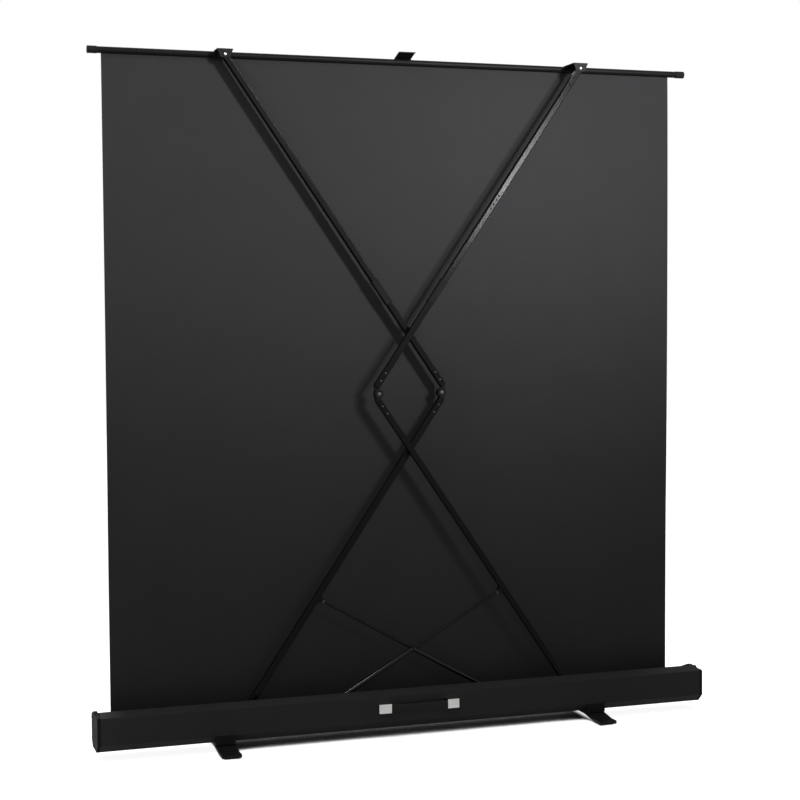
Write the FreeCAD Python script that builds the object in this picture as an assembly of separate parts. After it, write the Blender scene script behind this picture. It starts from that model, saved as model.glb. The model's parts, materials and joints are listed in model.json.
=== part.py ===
"""Portable projection screen that rises out of a floor casing on a crossed-arm lift.

Units are millimetres. +Z is up, +Y is the rear (handle and arm side), the picture faces -Y.
The origin is on the floor, in the middle of the casing. The screen is modelled raised.
"""

import FreeCAD, Part
import math
import os

V = FreeCAD.Vector
X_AXIS, Y_AXIS, Z_AXIS = V(1, 0, 0), V(0, 1, 0), V(0, 0, 1)
ORIGIN = V(0, 0, 0)

# General clearances and the overrun of every cut
OVERRUN = 2.0
RUN_CLEARANCE = 0.08
SEAT_GAP = 0.3
INSERT_GAP = 0.1

# Flat sides of small round pieces, and the test for an edge's direction
HEAD_SIDES = 8
SEAT_SIDES = 12
WRAP_SIDES = 24
ALONG_SHARE = 0.5

# Casing extrusion, seen along X: depth from the rear face, heights from its bottom
CASING_LENGTH = 1960.0
CASING_DEPTH = 132.0
CASING_HEIGHT = 117.0
CASING_WALL = 2.5
LOW_BEVEL_DEPTH = 26.0
LOW_BEVEL_RISE = 24.0
TOP_BEVEL_DEPTH = 28.0
TOP_BEVEL_DROP = 13.5
FRONT_WALL_DROP = 25.0
CASING_EDGE_RADIUS = 3.0
LIP_RETURN = 3.0

# Moulded end caps
CAP_LENGTH = 10.6
CAP_PLATE = 3.0
CAP_NOTCH_DROP = 12.0
CAP_NOTCH_DEPTH = 56.0
CAP_NOTCH_RUN = 10.0
CAP_EAR_DROP = 7.0
CAP_EAR_LENGTH = 16.0
CAP_REAR_CHAMFER = 5.0
CAP_SPIGOT_LENGTH = 12.0
CAP_SPIGOT_WALL = 2.0
CAP_FRONT_RADIUS = 9.0
CAP_BOSS_HALF = 9.0
CAP_BOSS_LENGTH = 10.6
CAP_SCREW_INSET = 14.0

# Feet: pads, swivelling bars near the arm pivots and the saddles that carry them
PAD_THICK = 4.0
PAD_LENGTH = 30.0
PAD_WIDTH = 46.0
PAD_INSET = 9.0
PAD_CORNER = 5.0
FOOT_THICK = 8.0
FOOT_WIDTH = 60.0
FOOT_REACH = 91.0
FOOT_CORNER = 6.0
FOOT_CRANK = 10.0
FOOT_TOE = 44.0
FOOT_BEYOND_PIVOT = 36.0
SADDLE_THICK = 3.7
SADDLE_EDGE = 2.0
FOOT_BOLT_RADIUS = 6.0
FOOT_BOLT_HEAD_RADIUS = 11.0
FOOT_BOLT_HEAD = 3.0
HEXAGON = 6

# Lift linkage: pivot places with the screen raised
BASE_PIVOT_RISE = 11.5
BASE_HALF_SPAN = 566.0
KNEE_HALF_SPAN = 106.0
ARM_RISE = 1012.3

# Arm tubes and the fittings in their ends
ARM_WIDTH = 18.0
ARM_DEPTH = 22.0
ARM_WALL = 1.5
ARM_CORNER = 2.5
LAYER_GAP = 4.5
LOWER_BASE_OFFSET = 2.0
LOWER_KNEE_OFFSET = 12.0
UPPER_KNEE_OFFSET = 18.0
KNEE_TUBE_SETBACK = 14.0
END_TUBE_SETBACK = 13.0
INSERT_LENGTH = 62.0
KNEE_LUG_RADIUS = 11.0
END_LUG_RADIUS = 9.0
TONGUE_THICK = 9.0
PIVOT_PIN_RADIUS = 4.0
RIVET_HEAD_RADIUS = 3.4
RIVET_HEAD_THICK = 1.2
RIVET_FIRST = 23.0
RIVET_PITCH = 27.5

# Join of the two upper-arm tubes, and the buffer sleeve further down
SPLICE_FROM_PIN = 514.0
SPLICE_LENGTH = 110.0
SPLICE_SCREW_FIRST = 9.0
SPLICE_SCREW_PITCH = 15.0
SPLICE_SEAM = 0.4
SLEEVE_FROM_PIN = 806.0
SLEEVE_LENGTH = 84.0
SLEEVE_WALL = 1.2
SLEEVE_FLARE = 0.8
SLEEVE_BAND = 6.0
SLEEVE_CORNER = 1.4

# Pressed brackets at both ends of the arms
BRACKET_SHEET = 2.0
CHEEK_GAP = 0.5
LIP_CLEARANCE = 2.5
BASE_BRACKET_LENGTH = 44.0
BASE_BRACKET_FLOOR = 1.8
BAR_BRACKET_WIDTH = 48.0
BAR_CHEEK_NOSE = 14.0
PIN_PROUD = 1.5

# Gas struts
STRUT_ARM_STATION = 475.0
STRUT_ARM_DROP = 20.0
STRUT_BASE_STATION = 390.0
STRUT_BASE_RISE = 8.7
STRUT_BODY_RADIUS = 7.5
STRUT_BODY_START = 15.0
STRUT_BODY_END = 450.0
STRUT_BORE_START = 26.0
STRUT_ROD_RADIUS = 4.0
STRUT_ROD_START = 330.0
STRUT_EYE_HALF = 5.4
STRUT_EYE_CORNER = 2.6
STRUT_EYE_REACH = 12.0
STRUT_EYE_THICK = 10.0
STRUT_PIN_RADIUS = 3.0
STRUT_CHEEK_GAP = 0.4
STRUT_CHEEK_EDGE = 5.0
CLEVIS_LENGTH = 26.0
CLEVIS_SHEET = 1.2
STRUT_BRACKET_LENGTH = 24.0

# Top bar, its caps, the welt rod and the pull tab
BAR_RADIUS = 10.0
BAR_WALL = 1.5
BAR_SLOT = 2.6
BAR_END_SETBACK = 16.0
BAR_ABOVE_PIN = 4.8
BAR_CAP_WALL = 1.0
BAR_CAP_LENGTH = 28.0
BAR_CAP_END = 3.0
WELT_RADIUS = 3.0
TAB_WIDTH = 52.0
TAB_REACH = 52.0
TAB_RISE = 13.0
TAB_SHEET = 2.5
TAB_LIP = 9.0
BAR_SCREW_SPREAD = 14.0
BAR_SCREW_TILT = 40.0

# Roller, fabric and winding spring
ROLLER_RADIUS = 13.0
ROLLER_WALL = 1.3
ROLLER_END_SETBACK = 36.0
FULL_ROLL_RADIUS = 20.5
ROLL_CLEARANCE = 2.0
ROLLER_RISE = 52.0
WRAPS_THICK = 1.2
BUSH_LENGTH = 22.0
SHAFT_RADIUS = 4.0
SHAFT_INSIDE = 420.0
SHAFT_IN_CAP = 6.0
SPRING_LENGTH = 330.0
SPRING_RADIUS = 8.0
SPRING_FROM_BUSH = 12.0
FABRIC_SETBACK = 128.0
FABRIC_SHIFT = 8.0
FABRIC_THICK = 0.6

# Carrying handle on the rear face
HANDLE_LENGTH = 262.0
HANDLE_RISE = 68.6
HANDLE_CAP_LENGTH = 40.0
HANDLE_CAP_WIDTH = 28.0
HANDLE_CAP_HEIGHT = 21.5
HANDLE_CAP_WALL = 1.6
HANDLE_CAP_ROUND = 7.0
HANDLE_FLANGE = 7.0
STRAP_THICK = 4.0
STRAP_STAND = 11.0
STRAP_BOW = 7.0
STRAP_TUCK = 15.0

# Screws of the casing
SCREW_HEAD_RADIUS = 4.0
SCREW_HEAD_THICK = 1.6

# Heights and depths worked out from the sizes above
FOOT_UNDER = PAD_THICK + FOOT_CRANK
FOOT_TOP = FOOT_UNDER + FOOT_THICK
SADDLE_BOTTOM = FOOT_TOP + SEAT_GAP
CASING_BOTTOM = SADDLE_BOTTOM + SADDLE_THICK
CASING_TOP = CASING_BOTTOM + CASING_HEIGHT
CASING_FLOOR = CASING_BOTTOM + CASING_WALL
FRONT_WALL_TOP = CASING_TOP - FRONT_WALL_DROP
REAR_Y = CASING_DEPTH / 2
FRONT_Y = -CASING_DEPTH / 2
SHELL_HALF = CASING_LENGTH / 2 - CAP_LENGTH
BAR_HALF_LENGTH = CASING_LENGTH / 2 - BAR_END_SETBACK
ROLLER_HALF_LENGTH = CASING_LENGTH / 2 - ROLLER_END_SETBACK
FABRIC_WIDTH = CASING_LENGTH - FABRIC_SETBACK
LIP_Y = REAR_Y - TOP_BEVEL_DEPTH
FOOT_STATION = BASE_HALF_SPAN + FOOT_BEYOND_PIVOT
CHEEK_REACH = ARM_DEPTH / 2 + CHEEK_GAP + BRACKET_SHEET
REAR_LAYER = LIP_Y - LIP_CLEARANCE - CHEEK_REACH
FRONT_LAYER = REAR_LAYER - ARM_DEPTH - LAYER_GAP
ROLL_Y = FRONT_LAYER - CHEEK_REACH - ROLL_CLEARANCE - FULL_ROLL_RADIUS
ROLL_Z = CASING_BOTTOM + ROLLER_RISE
BASE_PIVOT_Z = CASING_FLOOR + BASE_PIVOT_RISE
KNEE_Z = BASE_PIVOT_Z + ARM_RISE
PIN_Z = KNEE_Z + ARM_RISE
BAR_Y = ROLL_Y
BAR_SCREW_WAY = V(0, -math.sin(math.radians(BAR_SCREW_TILT)), math.cos(math.radians(BAR_SCREW_TILT)))
BAR_Z = PIN_Z + BAR_ABOVE_PIN
BRACKET_TOP = BAR_ABOVE_PIN + BAR_RADIUS + BRACKET_SHEET
WELT_Z = BAR_Z - BAR_RADIUS + BAR_WALL + WELT_RADIUS
WELT_HALF = FABRIC_WIDTH / 2 + FABRIC_SHIFT
HANDLE_Z = CASING_BOTTOM + HANDLE_RISE
STRAP_INNER_Y = REAR_Y + STRAP_STAND
STRAP_WIDTH = HANDLE_CAP_WIDTH - 2 * (HANDLE_CAP_WALL + SEAT_GAP)

# Link length and the two end angles of the lift
SPAN = BASE_HALF_SPAN + KNEE_HALF_SPAN
LINK = math.hypot(SPAN, ARM_RISE)
RAISED_ANGLE = math.atan2(ARM_RISE, SPAN)
CLOSED_PIN_Z = CASING_TOP - BAR_RADIUS - BAR_ABOVE_PIN
CLOSED_ANGLE = math.asin((CLOSED_PIN_Z - BASE_PIVOT_Z) / (2 * LINK))
LOWER_RUN = math.sqrt(LINK ** 2 - (LOWER_BASE_OFFSET + LOWER_KNEE_OFFSET) ** 2)
UPPER_RUN = math.sqrt(LINK ** 2 - UPPER_KNEE_OFFSET ** 2)
LOWER_TILT = math.atan2(LOWER_BASE_OFFSET + LOWER_KNEE_OFFSET, LOWER_RUN)
UPPER_TILT = math.atan2(UPPER_KNEE_OFFSET, UPPER_RUN)
STRUT_BASE_Z = CASING_FLOOR + STRUT_BASE_RISE
FORK_HALF = ARM_DEPTH / 2 - ARM_WALL - INSERT_GAP


def strut_pin_in_link():
    """Place of the strut pin on a lower arm, along the link and above it."""
    return STRUT_ARM_STATION, -STRUT_ARM_DROP


def lower_link_point(angle, along, above):
    """World X and Z of a point given on the link of the rear lower arm at a lift angle."""
    x = -BASE_HALF_SPAN + along * math.cos(angle) - above * math.sin(angle)
    z = BASE_PIVOT_Z + along * math.sin(angle) + above * math.cos(angle)
    return x, z


def strut_pose(angle):
    """Length and slope of the rear gas strut at a lift angle."""
    pin_x, pin_z = lower_link_point(angle, *strut_pin_in_link())
    run = STRUT_BASE_STATION - pin_x
    rise = pin_z - STRUT_BASE_Z
    return math.hypot(run, rise), math.atan2(rise, run)


STRUT_LENGTH, STRUT_ANGLE = strut_pose(RAISED_ANGLE)


# Helpers for outlines and solids

def face_in_yz(points, x=0.0):
    """Flat face through (y, z) points at one X."""
    loop = [V(x, y, z) for y, z in points]
    return Part.Face(Part.makePolygon(loop + [loop[0]]))


def face_in_xz(points, y=0.0):
    """Flat face through (x, z) points at one Y."""
    loop = [V(x, y, z) for x, z in points]
    return Part.Face(Part.makePolygon(loop + [loop[0]]))


def box(x0, x1, y0, y1, z0, z1):
    """Box between two corners."""
    return Part.makeBox(x1 - x0, y1 - y0, z1 - z0, V(x0, y0, z0))


def rod(radius, start, direction, length):
    """Round bar from a start point along a direction."""
    return Part.makeCylinder(radius, length, start, direction)


def cross_pin(x, z, radius, y0, y1):
    """Round bar along Y between two depths."""
    return rod(radius, V(x, y0, z), Y_AXIS, y1 - y0)


def flat_sided(sides, radius, start, direction, length):
    """Prism whose flats lie at a radius from its axis, from a start point along a direction."""
    turn = 2 * math.pi / sides
    reach = radius / math.cos(turn / 2)
    loop = [V(reach * math.cos(i * turn), reach * math.sin(i * turn), 0) for i in range(sides)]
    prism = Part.Face(Part.makePolygon(loop + [loop[0]])).extrude(V(0, 0, length))
    prism.Placement = FreeCAD.Placement(start, FreeCAD.Rotation(Z_AXIS, direction))
    return prism


def faceted_head(radius, thick, start, direction):
    """Small fastener head with flat sides, rising from a face along a direction."""
    return flat_sided(HEAD_SIDES, radius, start, direction, thick)


def pin_seat(x, z, reach):
    """Hole through cheeks for a pin pressed into them, with flats that touch it all round."""
    return flat_sided(SEAT_SIDES, PIVOT_PIN_RADIUS, V(x, -reach, z), Y_AXIS, 2 * reach)


def rounded_rect_face(width_y, width_z, radius, x=0.0):
    """Rounded rectangle in YZ about the X axis."""
    plain = box(x, x + OVERRUN, -width_y / 2, width_y / 2, -width_z / 2, width_z / 2)
    edges = [e for e in plain.Edges if abs(e.tangentAt(e.FirstParameter).x) > ALONG_SHARE]
    block = plain.makeFillet(radius, edges)
    return [f for f in block.Faces if abs(f.CenterOfMass.x - x) < INSERT_GAP][0]


def rect_tube(x0, x1):
    """Rectangular arm tube along X, round outside and square inside its corners."""
    outer = rounded_rect_face(ARM_DEPTH, ARM_WIDTH, ARM_CORNER).extrude(V(x1 - x0, 0, 0))
    outer.translate(V(x0, 0, 0))
    half_depth = ARM_DEPTH / 2 - ARM_WALL
    half_width = ARM_WIDTH / 2 - ARM_WALL
    return outer.cut(box(x0 - OVERRUN, x1 + OVERRUN, -half_depth, half_depth, -half_width, half_width))


def ring_tube(x0, x1, outer, inner, y=0.0, z=0.0):
    """Round tube along X."""
    body = rod(outer, V(x0, y, z), X_AXIS, x1 - x0)
    return body.cut(rod(inner, V(x0 - OVERRUN, y, z), X_AXIS, x1 - x0 + 2 * OVERRUN))


def tangent_point(corner, centre, radius, side):
    """Point where a line from a corner touches a circle, on one side of it."""
    dx, dz = corner[0] - centre[0], corner[1] - centre[1]
    turn = math.atan2(dz, dx) + side * math.acos(radius / math.hypot(dx, dz))
    return centre[0] + radius * math.cos(turn), centre[1] + radius * math.sin(turn)


def lug_face(near, far, centre, radius, way, y):
    """Face of a lug: a straight root from near to far and a round nose about the pivot.

    near and far are (x, z) corners of the root. Going from near by the nose to far turns
    counter-clockwise with X to the right and Z up.
    """
    start = tangent_point(near, centre, radius, 1)
    end = tangent_point(far, centre, radius, -1)
    nose = (centre[0] + way * radius, centre[1])
    first = Part.LineSegment(V(near[0], y, near[1]), V(start[0], y, start[1])).toShape()
    arc = Part.Arc(V(start[0], y, start[1]), V(nose[0], y, nose[1]), V(end[0], y, end[1])).toShape()
    last = Part.LineSegment(V(end[0], y, end[1]), V(far[0], y, far[1])).toShape()
    root = Part.LineSegment(V(far[0], y, far[1]), V(near[0], y, near[1])).toShape()
    return Part.Face(Part.Wire([first, arc, last, root]))


def lug(root_x, centre, radius, way, y0, y1):
    """Lug that grows out of a tube end at root_x towards a pivot, between two depths."""
    half = ARM_WIDTH / 2 - ARM_WALL - INSERT_GAP
    near, far = (root_x, -half * way), (root_x, half * way)
    face = lug_face(near, far, centre, radius, way, y0)
    return face.extrude(V(0, y1 - y0, 0))


def insert_block(x0, x1):
    """Block that fills the inside of an arm tube."""
    half_depth = ARM_DEPTH / 2 - ARM_WALL - INSERT_GAP
    half_width = ARM_WIDTH / 2 - ARM_WALL - INSERT_GAP
    return box(x0, x1, -half_depth, half_depth, -half_width, half_width)


def one_solid(shape):
    """The shape with its splitting edges removed."""
    return shape.removeSplitter()


def group(shapes):
    """Several solids kept apart in one node."""
    return Part.makeCompound([s for shape in shapes for s in shape.Solids])


# Arms, built along X in the frame of their own tube

def rivet_stations(end_x, way):
    """X places of the two rivets that hold a fitting in a tube end."""
    return [end_x + way * (RIVET_FIRST + i * RIVET_PITCH) for i in range(2)]


def arm_heads(stations):
    """Heads of rivets or screws on the rear face of a tube."""
    starts = [V(x, ARM_DEPTH / 2, 0) for x in stations]
    return [faceted_head(RIVET_HEAD_RADIUS, RIVET_HEAD_THICK, start, Y_AXIS) for start in starts]


def end_plug(end_x, way, centre, hole):
    """Fitting with a full-depth lug, for the pivots at the ends of the linkage."""
    inner = end_x - way * INSERT_LENGTH
    block = insert_block(min(end_x, inner), max(end_x, inner))
    nose = lug(end_x, centre, END_LUG_RADIUS, way, -FORK_HALF, FORK_HALF)
    solid = one_solid(block.fuse(nose))
    return solid.cut(cross_pin(centre[0], centre[1], hole, -ARM_DEPTH, ARM_DEPTH))


def knee_fork(end_x, centre):
    """Fitting with two cheeks that hold the knee pin."""
    block = insert_block(end_x - INSERT_LENGTH, end_x)
    slot = TONGUE_THICK / 2 + INSERT_GAP * 2
    cheeks = [
        lug(end_x, centre, KNEE_LUG_RADIUS, 1, slot, FORK_HALF),
        lug(end_x, centre, KNEE_LUG_RADIUS, 1, -FORK_HALF, -slot),
    ]
    solid = one_solid(block.fuse(cheeks))
    return solid.cut(pin_seat(centre[0], centre[1], ARM_DEPTH))


def knee_tongue(end_x, centre):
    """Fitting with one tongue that turns between the cheeks of the knee."""
    block = insert_block(end_x, end_x + INSERT_LENGTH)
    half = TONGUE_THICK / 2
    nose = lug(end_x, centre, KNEE_LUG_RADIUS, -1, -half, half)
    solid = one_solid(block.fuse(nose))
    hole = PIVOT_PIN_RADIUS + RUN_CLEARANCE
    return solid.cut(cross_pin(centre[0], centre[1], hole, -ARM_DEPTH, ARM_DEPTH))


def knee_pin(centre):
    """Knee pin that stands a little proud of both cheeks."""
    reach = FORK_HALF + PIN_PROUD
    return cross_pin(centre[0], centre[1], PIVOT_PIN_RADIUS, -reach, reach)


def strut_clevis():
    """Small pressed bracket under a lower arm that takes the rod end of the gas strut."""
    along, above = strut_pin_in_link()
    x = along * math.cos(LOWER_TILT) - above * math.sin(LOWER_TILT)
    z = along * math.sin(LOWER_TILT) + above * math.cos(LOWER_TILT) - LOWER_BASE_OFFSET
    under = -ARM_WIDTH / 2
    inside = STRUT_EYE_THICK / 2 + STRUT_CHEEK_GAP
    outside = inside + BRACKET_SHEET
    half = CLEVIS_LENGTH / 2
    web = box(x - half, x + half, -outside, outside, under - CLEVIS_SHEET, under)
    nose = (x - STRUT_CHEEK_EDGE, x + STRUT_CHEEK_EDGE, z - STRUT_CHEEK_EDGE)
    pieces = [cross_pin(x, z, STRUT_PIN_RADIUS, -inside, inside)]
    for way in (-1, 1):
        low, high = sorted((way * inside, way * outside))
        pieces.append(tapered_cheek(x - half, x + half, under - CLEVIS_SHEET, nose, low, high))
        pin_face = V(x, way * outside, z)
        pieces.append(faceted_head(STRUT_PIN_RADIUS, PIN_PROUD, pin_face, Y_AXIS * way))
    return one_solid(web.fuse(pieces))


def tapered_cheek(x0, x1, z, nose, y0, y1):
    """Plate whose wide edge lies at height z and whose nose is (x, x, z) of its narrow edge."""
    face = face_in_xz([(x0, z), (x1, z), (nose[1], nose[2]), (nose[0], nose[2])], y0)
    return face.extrude(V(0, y1 - y0, 0))


def lower_arm():
    """Pieces of a lower arm in the frame of its tube."""
    start = END_TUBE_SETBACK
    end = LOWER_RUN - KNEE_TUBE_SETBACK
    base = (0, -LOWER_BASE_OFFSET)
    knee = (LOWER_RUN, LOWER_KNEE_OFFSET)
    stations = rivet_stations(start, 1) + rivet_stations(end, -1)
    return {
        "lower_tube": rect_tube(start, end),
        "lower_base_plug": end_plug(start, -1, base, PIVOT_PIN_RADIUS + RUN_CLEARANCE),
        "knee_fork": knee_fork(end, knee),
        "knee_pin": knee_pin(knee),
        "strut_clevis": strut_clevis(),
        "lower_rivets": group(arm_heads(stations)),
    }


def chamfered_bar(x0, x1, depth, width, corner):
    """Bar along X with chamfered long edges."""
    half_depth, half_width = depth / 2, width / 2
    points = [
        (half_depth, half_width - corner), (half_depth - corner, half_width),
        (corner - half_depth, half_width), (-half_depth, half_width - corner),
        (-half_depth, corner - half_width), (corner - half_depth, -half_width),
        (half_depth - corner, -half_width), (half_depth, corner - half_width),
    ]
    return face_in_yz(points, x0).extrude(V(x1 - x0, 0, 0))


def buffer_sleeve(x0):
    """Thin moulded sleeve round an upper tube, with a raised band at each end."""
    x1 = x0 + SLEEVE_LENGTH
    depth, width = ARM_DEPTH + 2 * SLEEVE_WALL, ARM_WIDTH + 2 * SLEEVE_WALL
    sleeve = chamfered_bar(x0, x1, depth, width, SLEEVE_CORNER)
    bands = [
        chamfered_bar(start, start + SLEEVE_BAND, depth + SLEEVE_FLARE, width + SLEEVE_FLARE, SLEEVE_CORNER)
        for start in (x0, x1 - SLEEVE_BAND)
    ]
    half_depth, half_width = ARM_DEPTH / 2, ARM_WIDTH / 2
    hole = box(x0 - OVERRUN, x1 + OVERRUN, -half_depth, half_depth, -half_width, half_width)
    return one_solid(sleeve.fuse(bands).cut(hole))


def upper_arm():
    """Pieces of an upper arm in the frame of its tube, from the knee to the top pin."""
    start = KNEE_TUBE_SETBACK
    end = UPPER_RUN - END_TUBE_SETBACK
    seam = UPPER_RUN - SPLICE_FROM_PIN
    knee = (0, -UPPER_KNEE_OFFSET)
    top = (UPPER_RUN, 0)
    low_stations = rivet_stations(start, 1)
    high_stations = rivet_stations(end, -1)
    screws = [seam + SPLICE_SCREW_FIRST + i * SPLICE_SCREW_PITCH for i in range(2)]
    screws += [seam - SPLICE_SCREW_FIRST - i * SPLICE_SCREW_PITCH for i in range(2)]
    return {
        "upper_tube_low": rect_tube(start, seam - SPLICE_SEAM / 2),
        "upper_tube_high": rect_tube(seam + SPLICE_SEAM / 2, end),
        "splice_bar": insert_block(seam - SPLICE_LENGTH / 2, seam + SPLICE_LENGTH / 2),
        "knee_tongue": knee_tongue(start, knee),
        "upper_top_plug": end_plug(end, 1, top, PIVOT_PIN_RADIUS + RUN_CLEARANCE),
        "buffer_sleeve": buffer_sleeve(UPPER_RUN - SLEEVE_FROM_PIN - SLEEVE_LENGTH),
        "upper_fixings": group(arm_heads(low_stations + high_stations + screws)),
    }


def place_rear_lower(shape):
    """Carry a lower-arm piece from the frame of its tube to the rear layer."""
    placed = shape.copy()
    placed.translate(V(0, 0, LOWER_BASE_OFFSET))
    placed.rotate(ORIGIN, Y_AXIS, math.degrees(LOWER_TILT - RAISED_ANGLE))
    placed.translate(V(-BASE_HALF_SPAN, REAR_LAYER, BASE_PIVOT_Z))
    return placed


def place_rear_upper(shape):
    """Carry an upper-arm piece from the frame of its tube to the rear layer."""
    placed = shape.copy()
    placed.translate(V(0, 0, UPPER_KNEE_OFFSET))
    placed.rotate(ORIGIN, Y_AXIS, math.degrees(UPPER_TILT - RAISED_ANGLE))
    placed = placed.mirror(ORIGIN, X_AXIS)
    placed.translate(V(KNEE_HALF_SPAN, REAR_LAYER, KNEE_Z))
    return placed


def to_front_layer(shape):
    """The same piece on the mirrored front linkage."""
    placed = shape.mirror(ORIGIN, X_AXIS)
    placed.translate(V(0, FRONT_LAYER - REAR_LAYER, 0))
    return placed


# Casing and what is fixed in it

def casing_outline(inset=0.0):
    """Outer outline of the casing in (y, z), from the rear lip round to the front lip."""
    slope_low = math.atan2(LOW_BEVEL_RISE, LOW_BEVEL_DEPTH)
    slope_top = math.atan2(TOP_BEVEL_DROP, TOP_BEVEL_DEPTH)
    trim_low = inset * math.tan(slope_low / 2)
    trim_face = inset * math.tan((math.pi / 2 - slope_low) / 2)
    trim_top = inset * math.tan((math.pi / 2 - slope_top) / 2)
    rear, front = REAR_Y - inset, FRONT_Y + inset
    bottom = CASING_BOTTOM + inset
    face_low = CASING_BOTTOM + LOW_BEVEL_RISE
    face_top = CASING_TOP - TOP_BEVEL_DROP
    lip_drop = inset / math.cos(slope_top)
    return [
        (LIP_Y, CASING_TOP - lip_drop),
        (rear, face_top - trim_top),
        (rear, face_low + trim_face),
        (REAR_Y - LOW_BEVEL_DEPTH - trim_low, bottom),
        (FRONT_Y + LOW_BEVEL_DEPTH + trim_low, bottom),
        (front, face_low + trim_face),
        (front, FRONT_WALL_TOP),
    ]


def casing_shell():
    """Aluminium extrusion, open along its top for the bar and the arms."""
    outer = casing_outline()
    inner = casing_outline(CASING_WALL)
    ring = outer + list(reversed(inner))
    shell = face_in_yz(ring, -SHELL_HALF).extrude(V(2 * SHELL_HALF, 0, 0))
    long_edges = []
    for y, z in outer[1:6]:
        for edge in shell.Edges:
            away = edge.CenterOfMass - V(0, y, z)
            if away.Length < INSERT_GAP and edge.Length > SHELL_HALF:
                long_edges.append(edge)
    shell = shell.makeFillet(CASING_EDGE_RADIUS, long_edges)
    lip_low = inner[0][1] - LIP_RETURN
    lip = box(-SHELL_HALF, SHELL_HALF, LIP_Y, LIP_Y + CASING_WALL, lip_low, inner[0][1] + INSERT_GAP)
    return one_solid(shell.fuse(lip))


def cap_outline(inset=0.0):
    """Outline of an end cap: the casing's, with a notch behind the arms and a low ear before it."""
    notch = CASING_TOP - CAP_NOTCH_DROP
    ear = CASING_TOP - CAP_EAR_DROP - inset
    ear_y = REAR_Y - CAP_NOTCH_DEPTH - CAP_NOTCH_RUN
    rear, front = REAR_Y - inset, FRONT_Y + inset
    face_low = CASING_BOTTOM + LOW_BEVEL_RISE
    return [
        (rear - CAP_REAR_CHAMFER, notch - inset),
        (rear, notch - CAP_REAR_CHAMFER - inset),
        (rear, face_low),
        (REAR_Y - LOW_BEVEL_DEPTH, CASING_BOTTOM + inset),
        (FRONT_Y + LOW_BEVEL_DEPTH, CASING_BOTTOM + inset),
        (front, face_low),
        (front, FRONT_WALL_TOP - inset),
        (ear_y - CAP_EAR_LENGTH, ear),
        (ear_y - inset, ear),
        (REAR_Y - CAP_NOTCH_DEPTH - inset, notch - inset),
    ]


def end_cap():
    """Moulded end cap for the +X end, with a spigot in the casing and the roller boss."""
    x_out = CASING_LENGTH / 2
    body = face_in_yz(cap_outline(), SHELL_HALF).extrude(V(CAP_LENGTH, 0, 0))
    front_edges = [
        e for e in body.Edges
        if abs(e.CenterOfMass.y - FRONT_Y) < INSERT_GAP
        and abs(e.CenterOfMass.x - x_out) < INSERT_GAP
        and abs(e.tangentAt(e.FirstParameter).z) > ALONG_SHARE
    ]
    body = body.makeFillet(CAP_FRONT_RADIUS, front_edges)
    pocket = face_in_yz(cap_outline(CASING_WALL), SHELL_HALF - OVERRUN)
    body = body.cut(pocket.extrude(V(CAP_LENGTH - CAP_PLATE + OVERRUN, 0, 0)))
    spigot = spigot_ring()
    boss_start = V(x_out - CAP_PLATE - CAP_BOSS_LENGTH, ROLL_Y, ROLL_Z)
    boss = box(boss_start.x, x_out - CAP_PLATE, ROLL_Y - CAP_BOSS_HALF, ROLL_Y + CAP_BOSS_HALF,
               ROLL_Z - CAP_BOSS_HALF, ROLL_Z + CAP_BOSS_HALF)
    body = one_solid(body.fuse([spigot, boss]))
    shaft = rod(SHAFT_RADIUS, boss_start - X_AXIS * OVERRUN, X_AXIS, SHAFT_IN_CAP + OVERRUN)
    return body.cut(shaft)


def spigot_ring():
    """Thin rim of the end cap that slides into the casing extrusion."""
    gap = CASING_WALL + INSERT_GAP
    outer = cap_spigot_outline(gap)
    inner = cap_spigot_outline(gap + CAP_SPIGOT_WALL)
    x0 = SHELL_HALF - CAP_SPIGOT_LENGTH
    length = CAP_SPIGOT_LENGTH + CAP_LENGTH - CAP_PLATE
    ring = face_in_yz(outer + list(reversed(inner)), x0)
    return ring.extrude(V(length, 0, 0))


def cap_spigot_outline(inset):
    """Part of the casing outline that the spigot follows: rear, bottom and front."""
    points = casing_outline(inset)[2:6]
    top = FRONT_WALL_TOP - CASING_EDGE_RADIUS
    return [(REAR_Y - inset, top)] + points + [(FRONT_Y + inset, top)]


def arm_base_bracket(x, layer):
    """Pressed bracket on the casing floor, with the riveted pin that carries one lower arm."""
    half = BASE_BRACKET_LENGTH / 2
    inside = ARM_DEPTH / 2 + CHEEK_GAP
    top = CASING_FLOOR + BASE_BRACKET_FLOOR
    floor = box(x - half, x + half, layer - CHEEK_REACH, layer + CHEEK_REACH, CASING_FLOOR, top)
    nose = (x - END_LUG_RADIUS, x + END_LUG_RADIUS, BASE_PIVOT_Z + END_LUG_RADIUS)
    pieces = [
        tapered_cheek(x - half, x + half, top, nose, layer + inside, layer + CHEEK_REACH),
        tapered_cheek(x - half, x + half, top, nose, layer - CHEEK_REACH, layer - inside),
        cross_pin(x, BASE_PIVOT_Z, PIVOT_PIN_RADIUS, layer - inside, layer + inside),
    ]
    return one_solid(floor.fuse(pieces))


def pivot_pin(x, z, layer):
    """Pin through two cheeks and an arm, a little proud of each cheek."""
    reach = CHEEK_REACH + PIN_PROUD
    return cross_pin(x, z, PIVOT_PIN_RADIUS, layer - reach, layer + reach)


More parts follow.
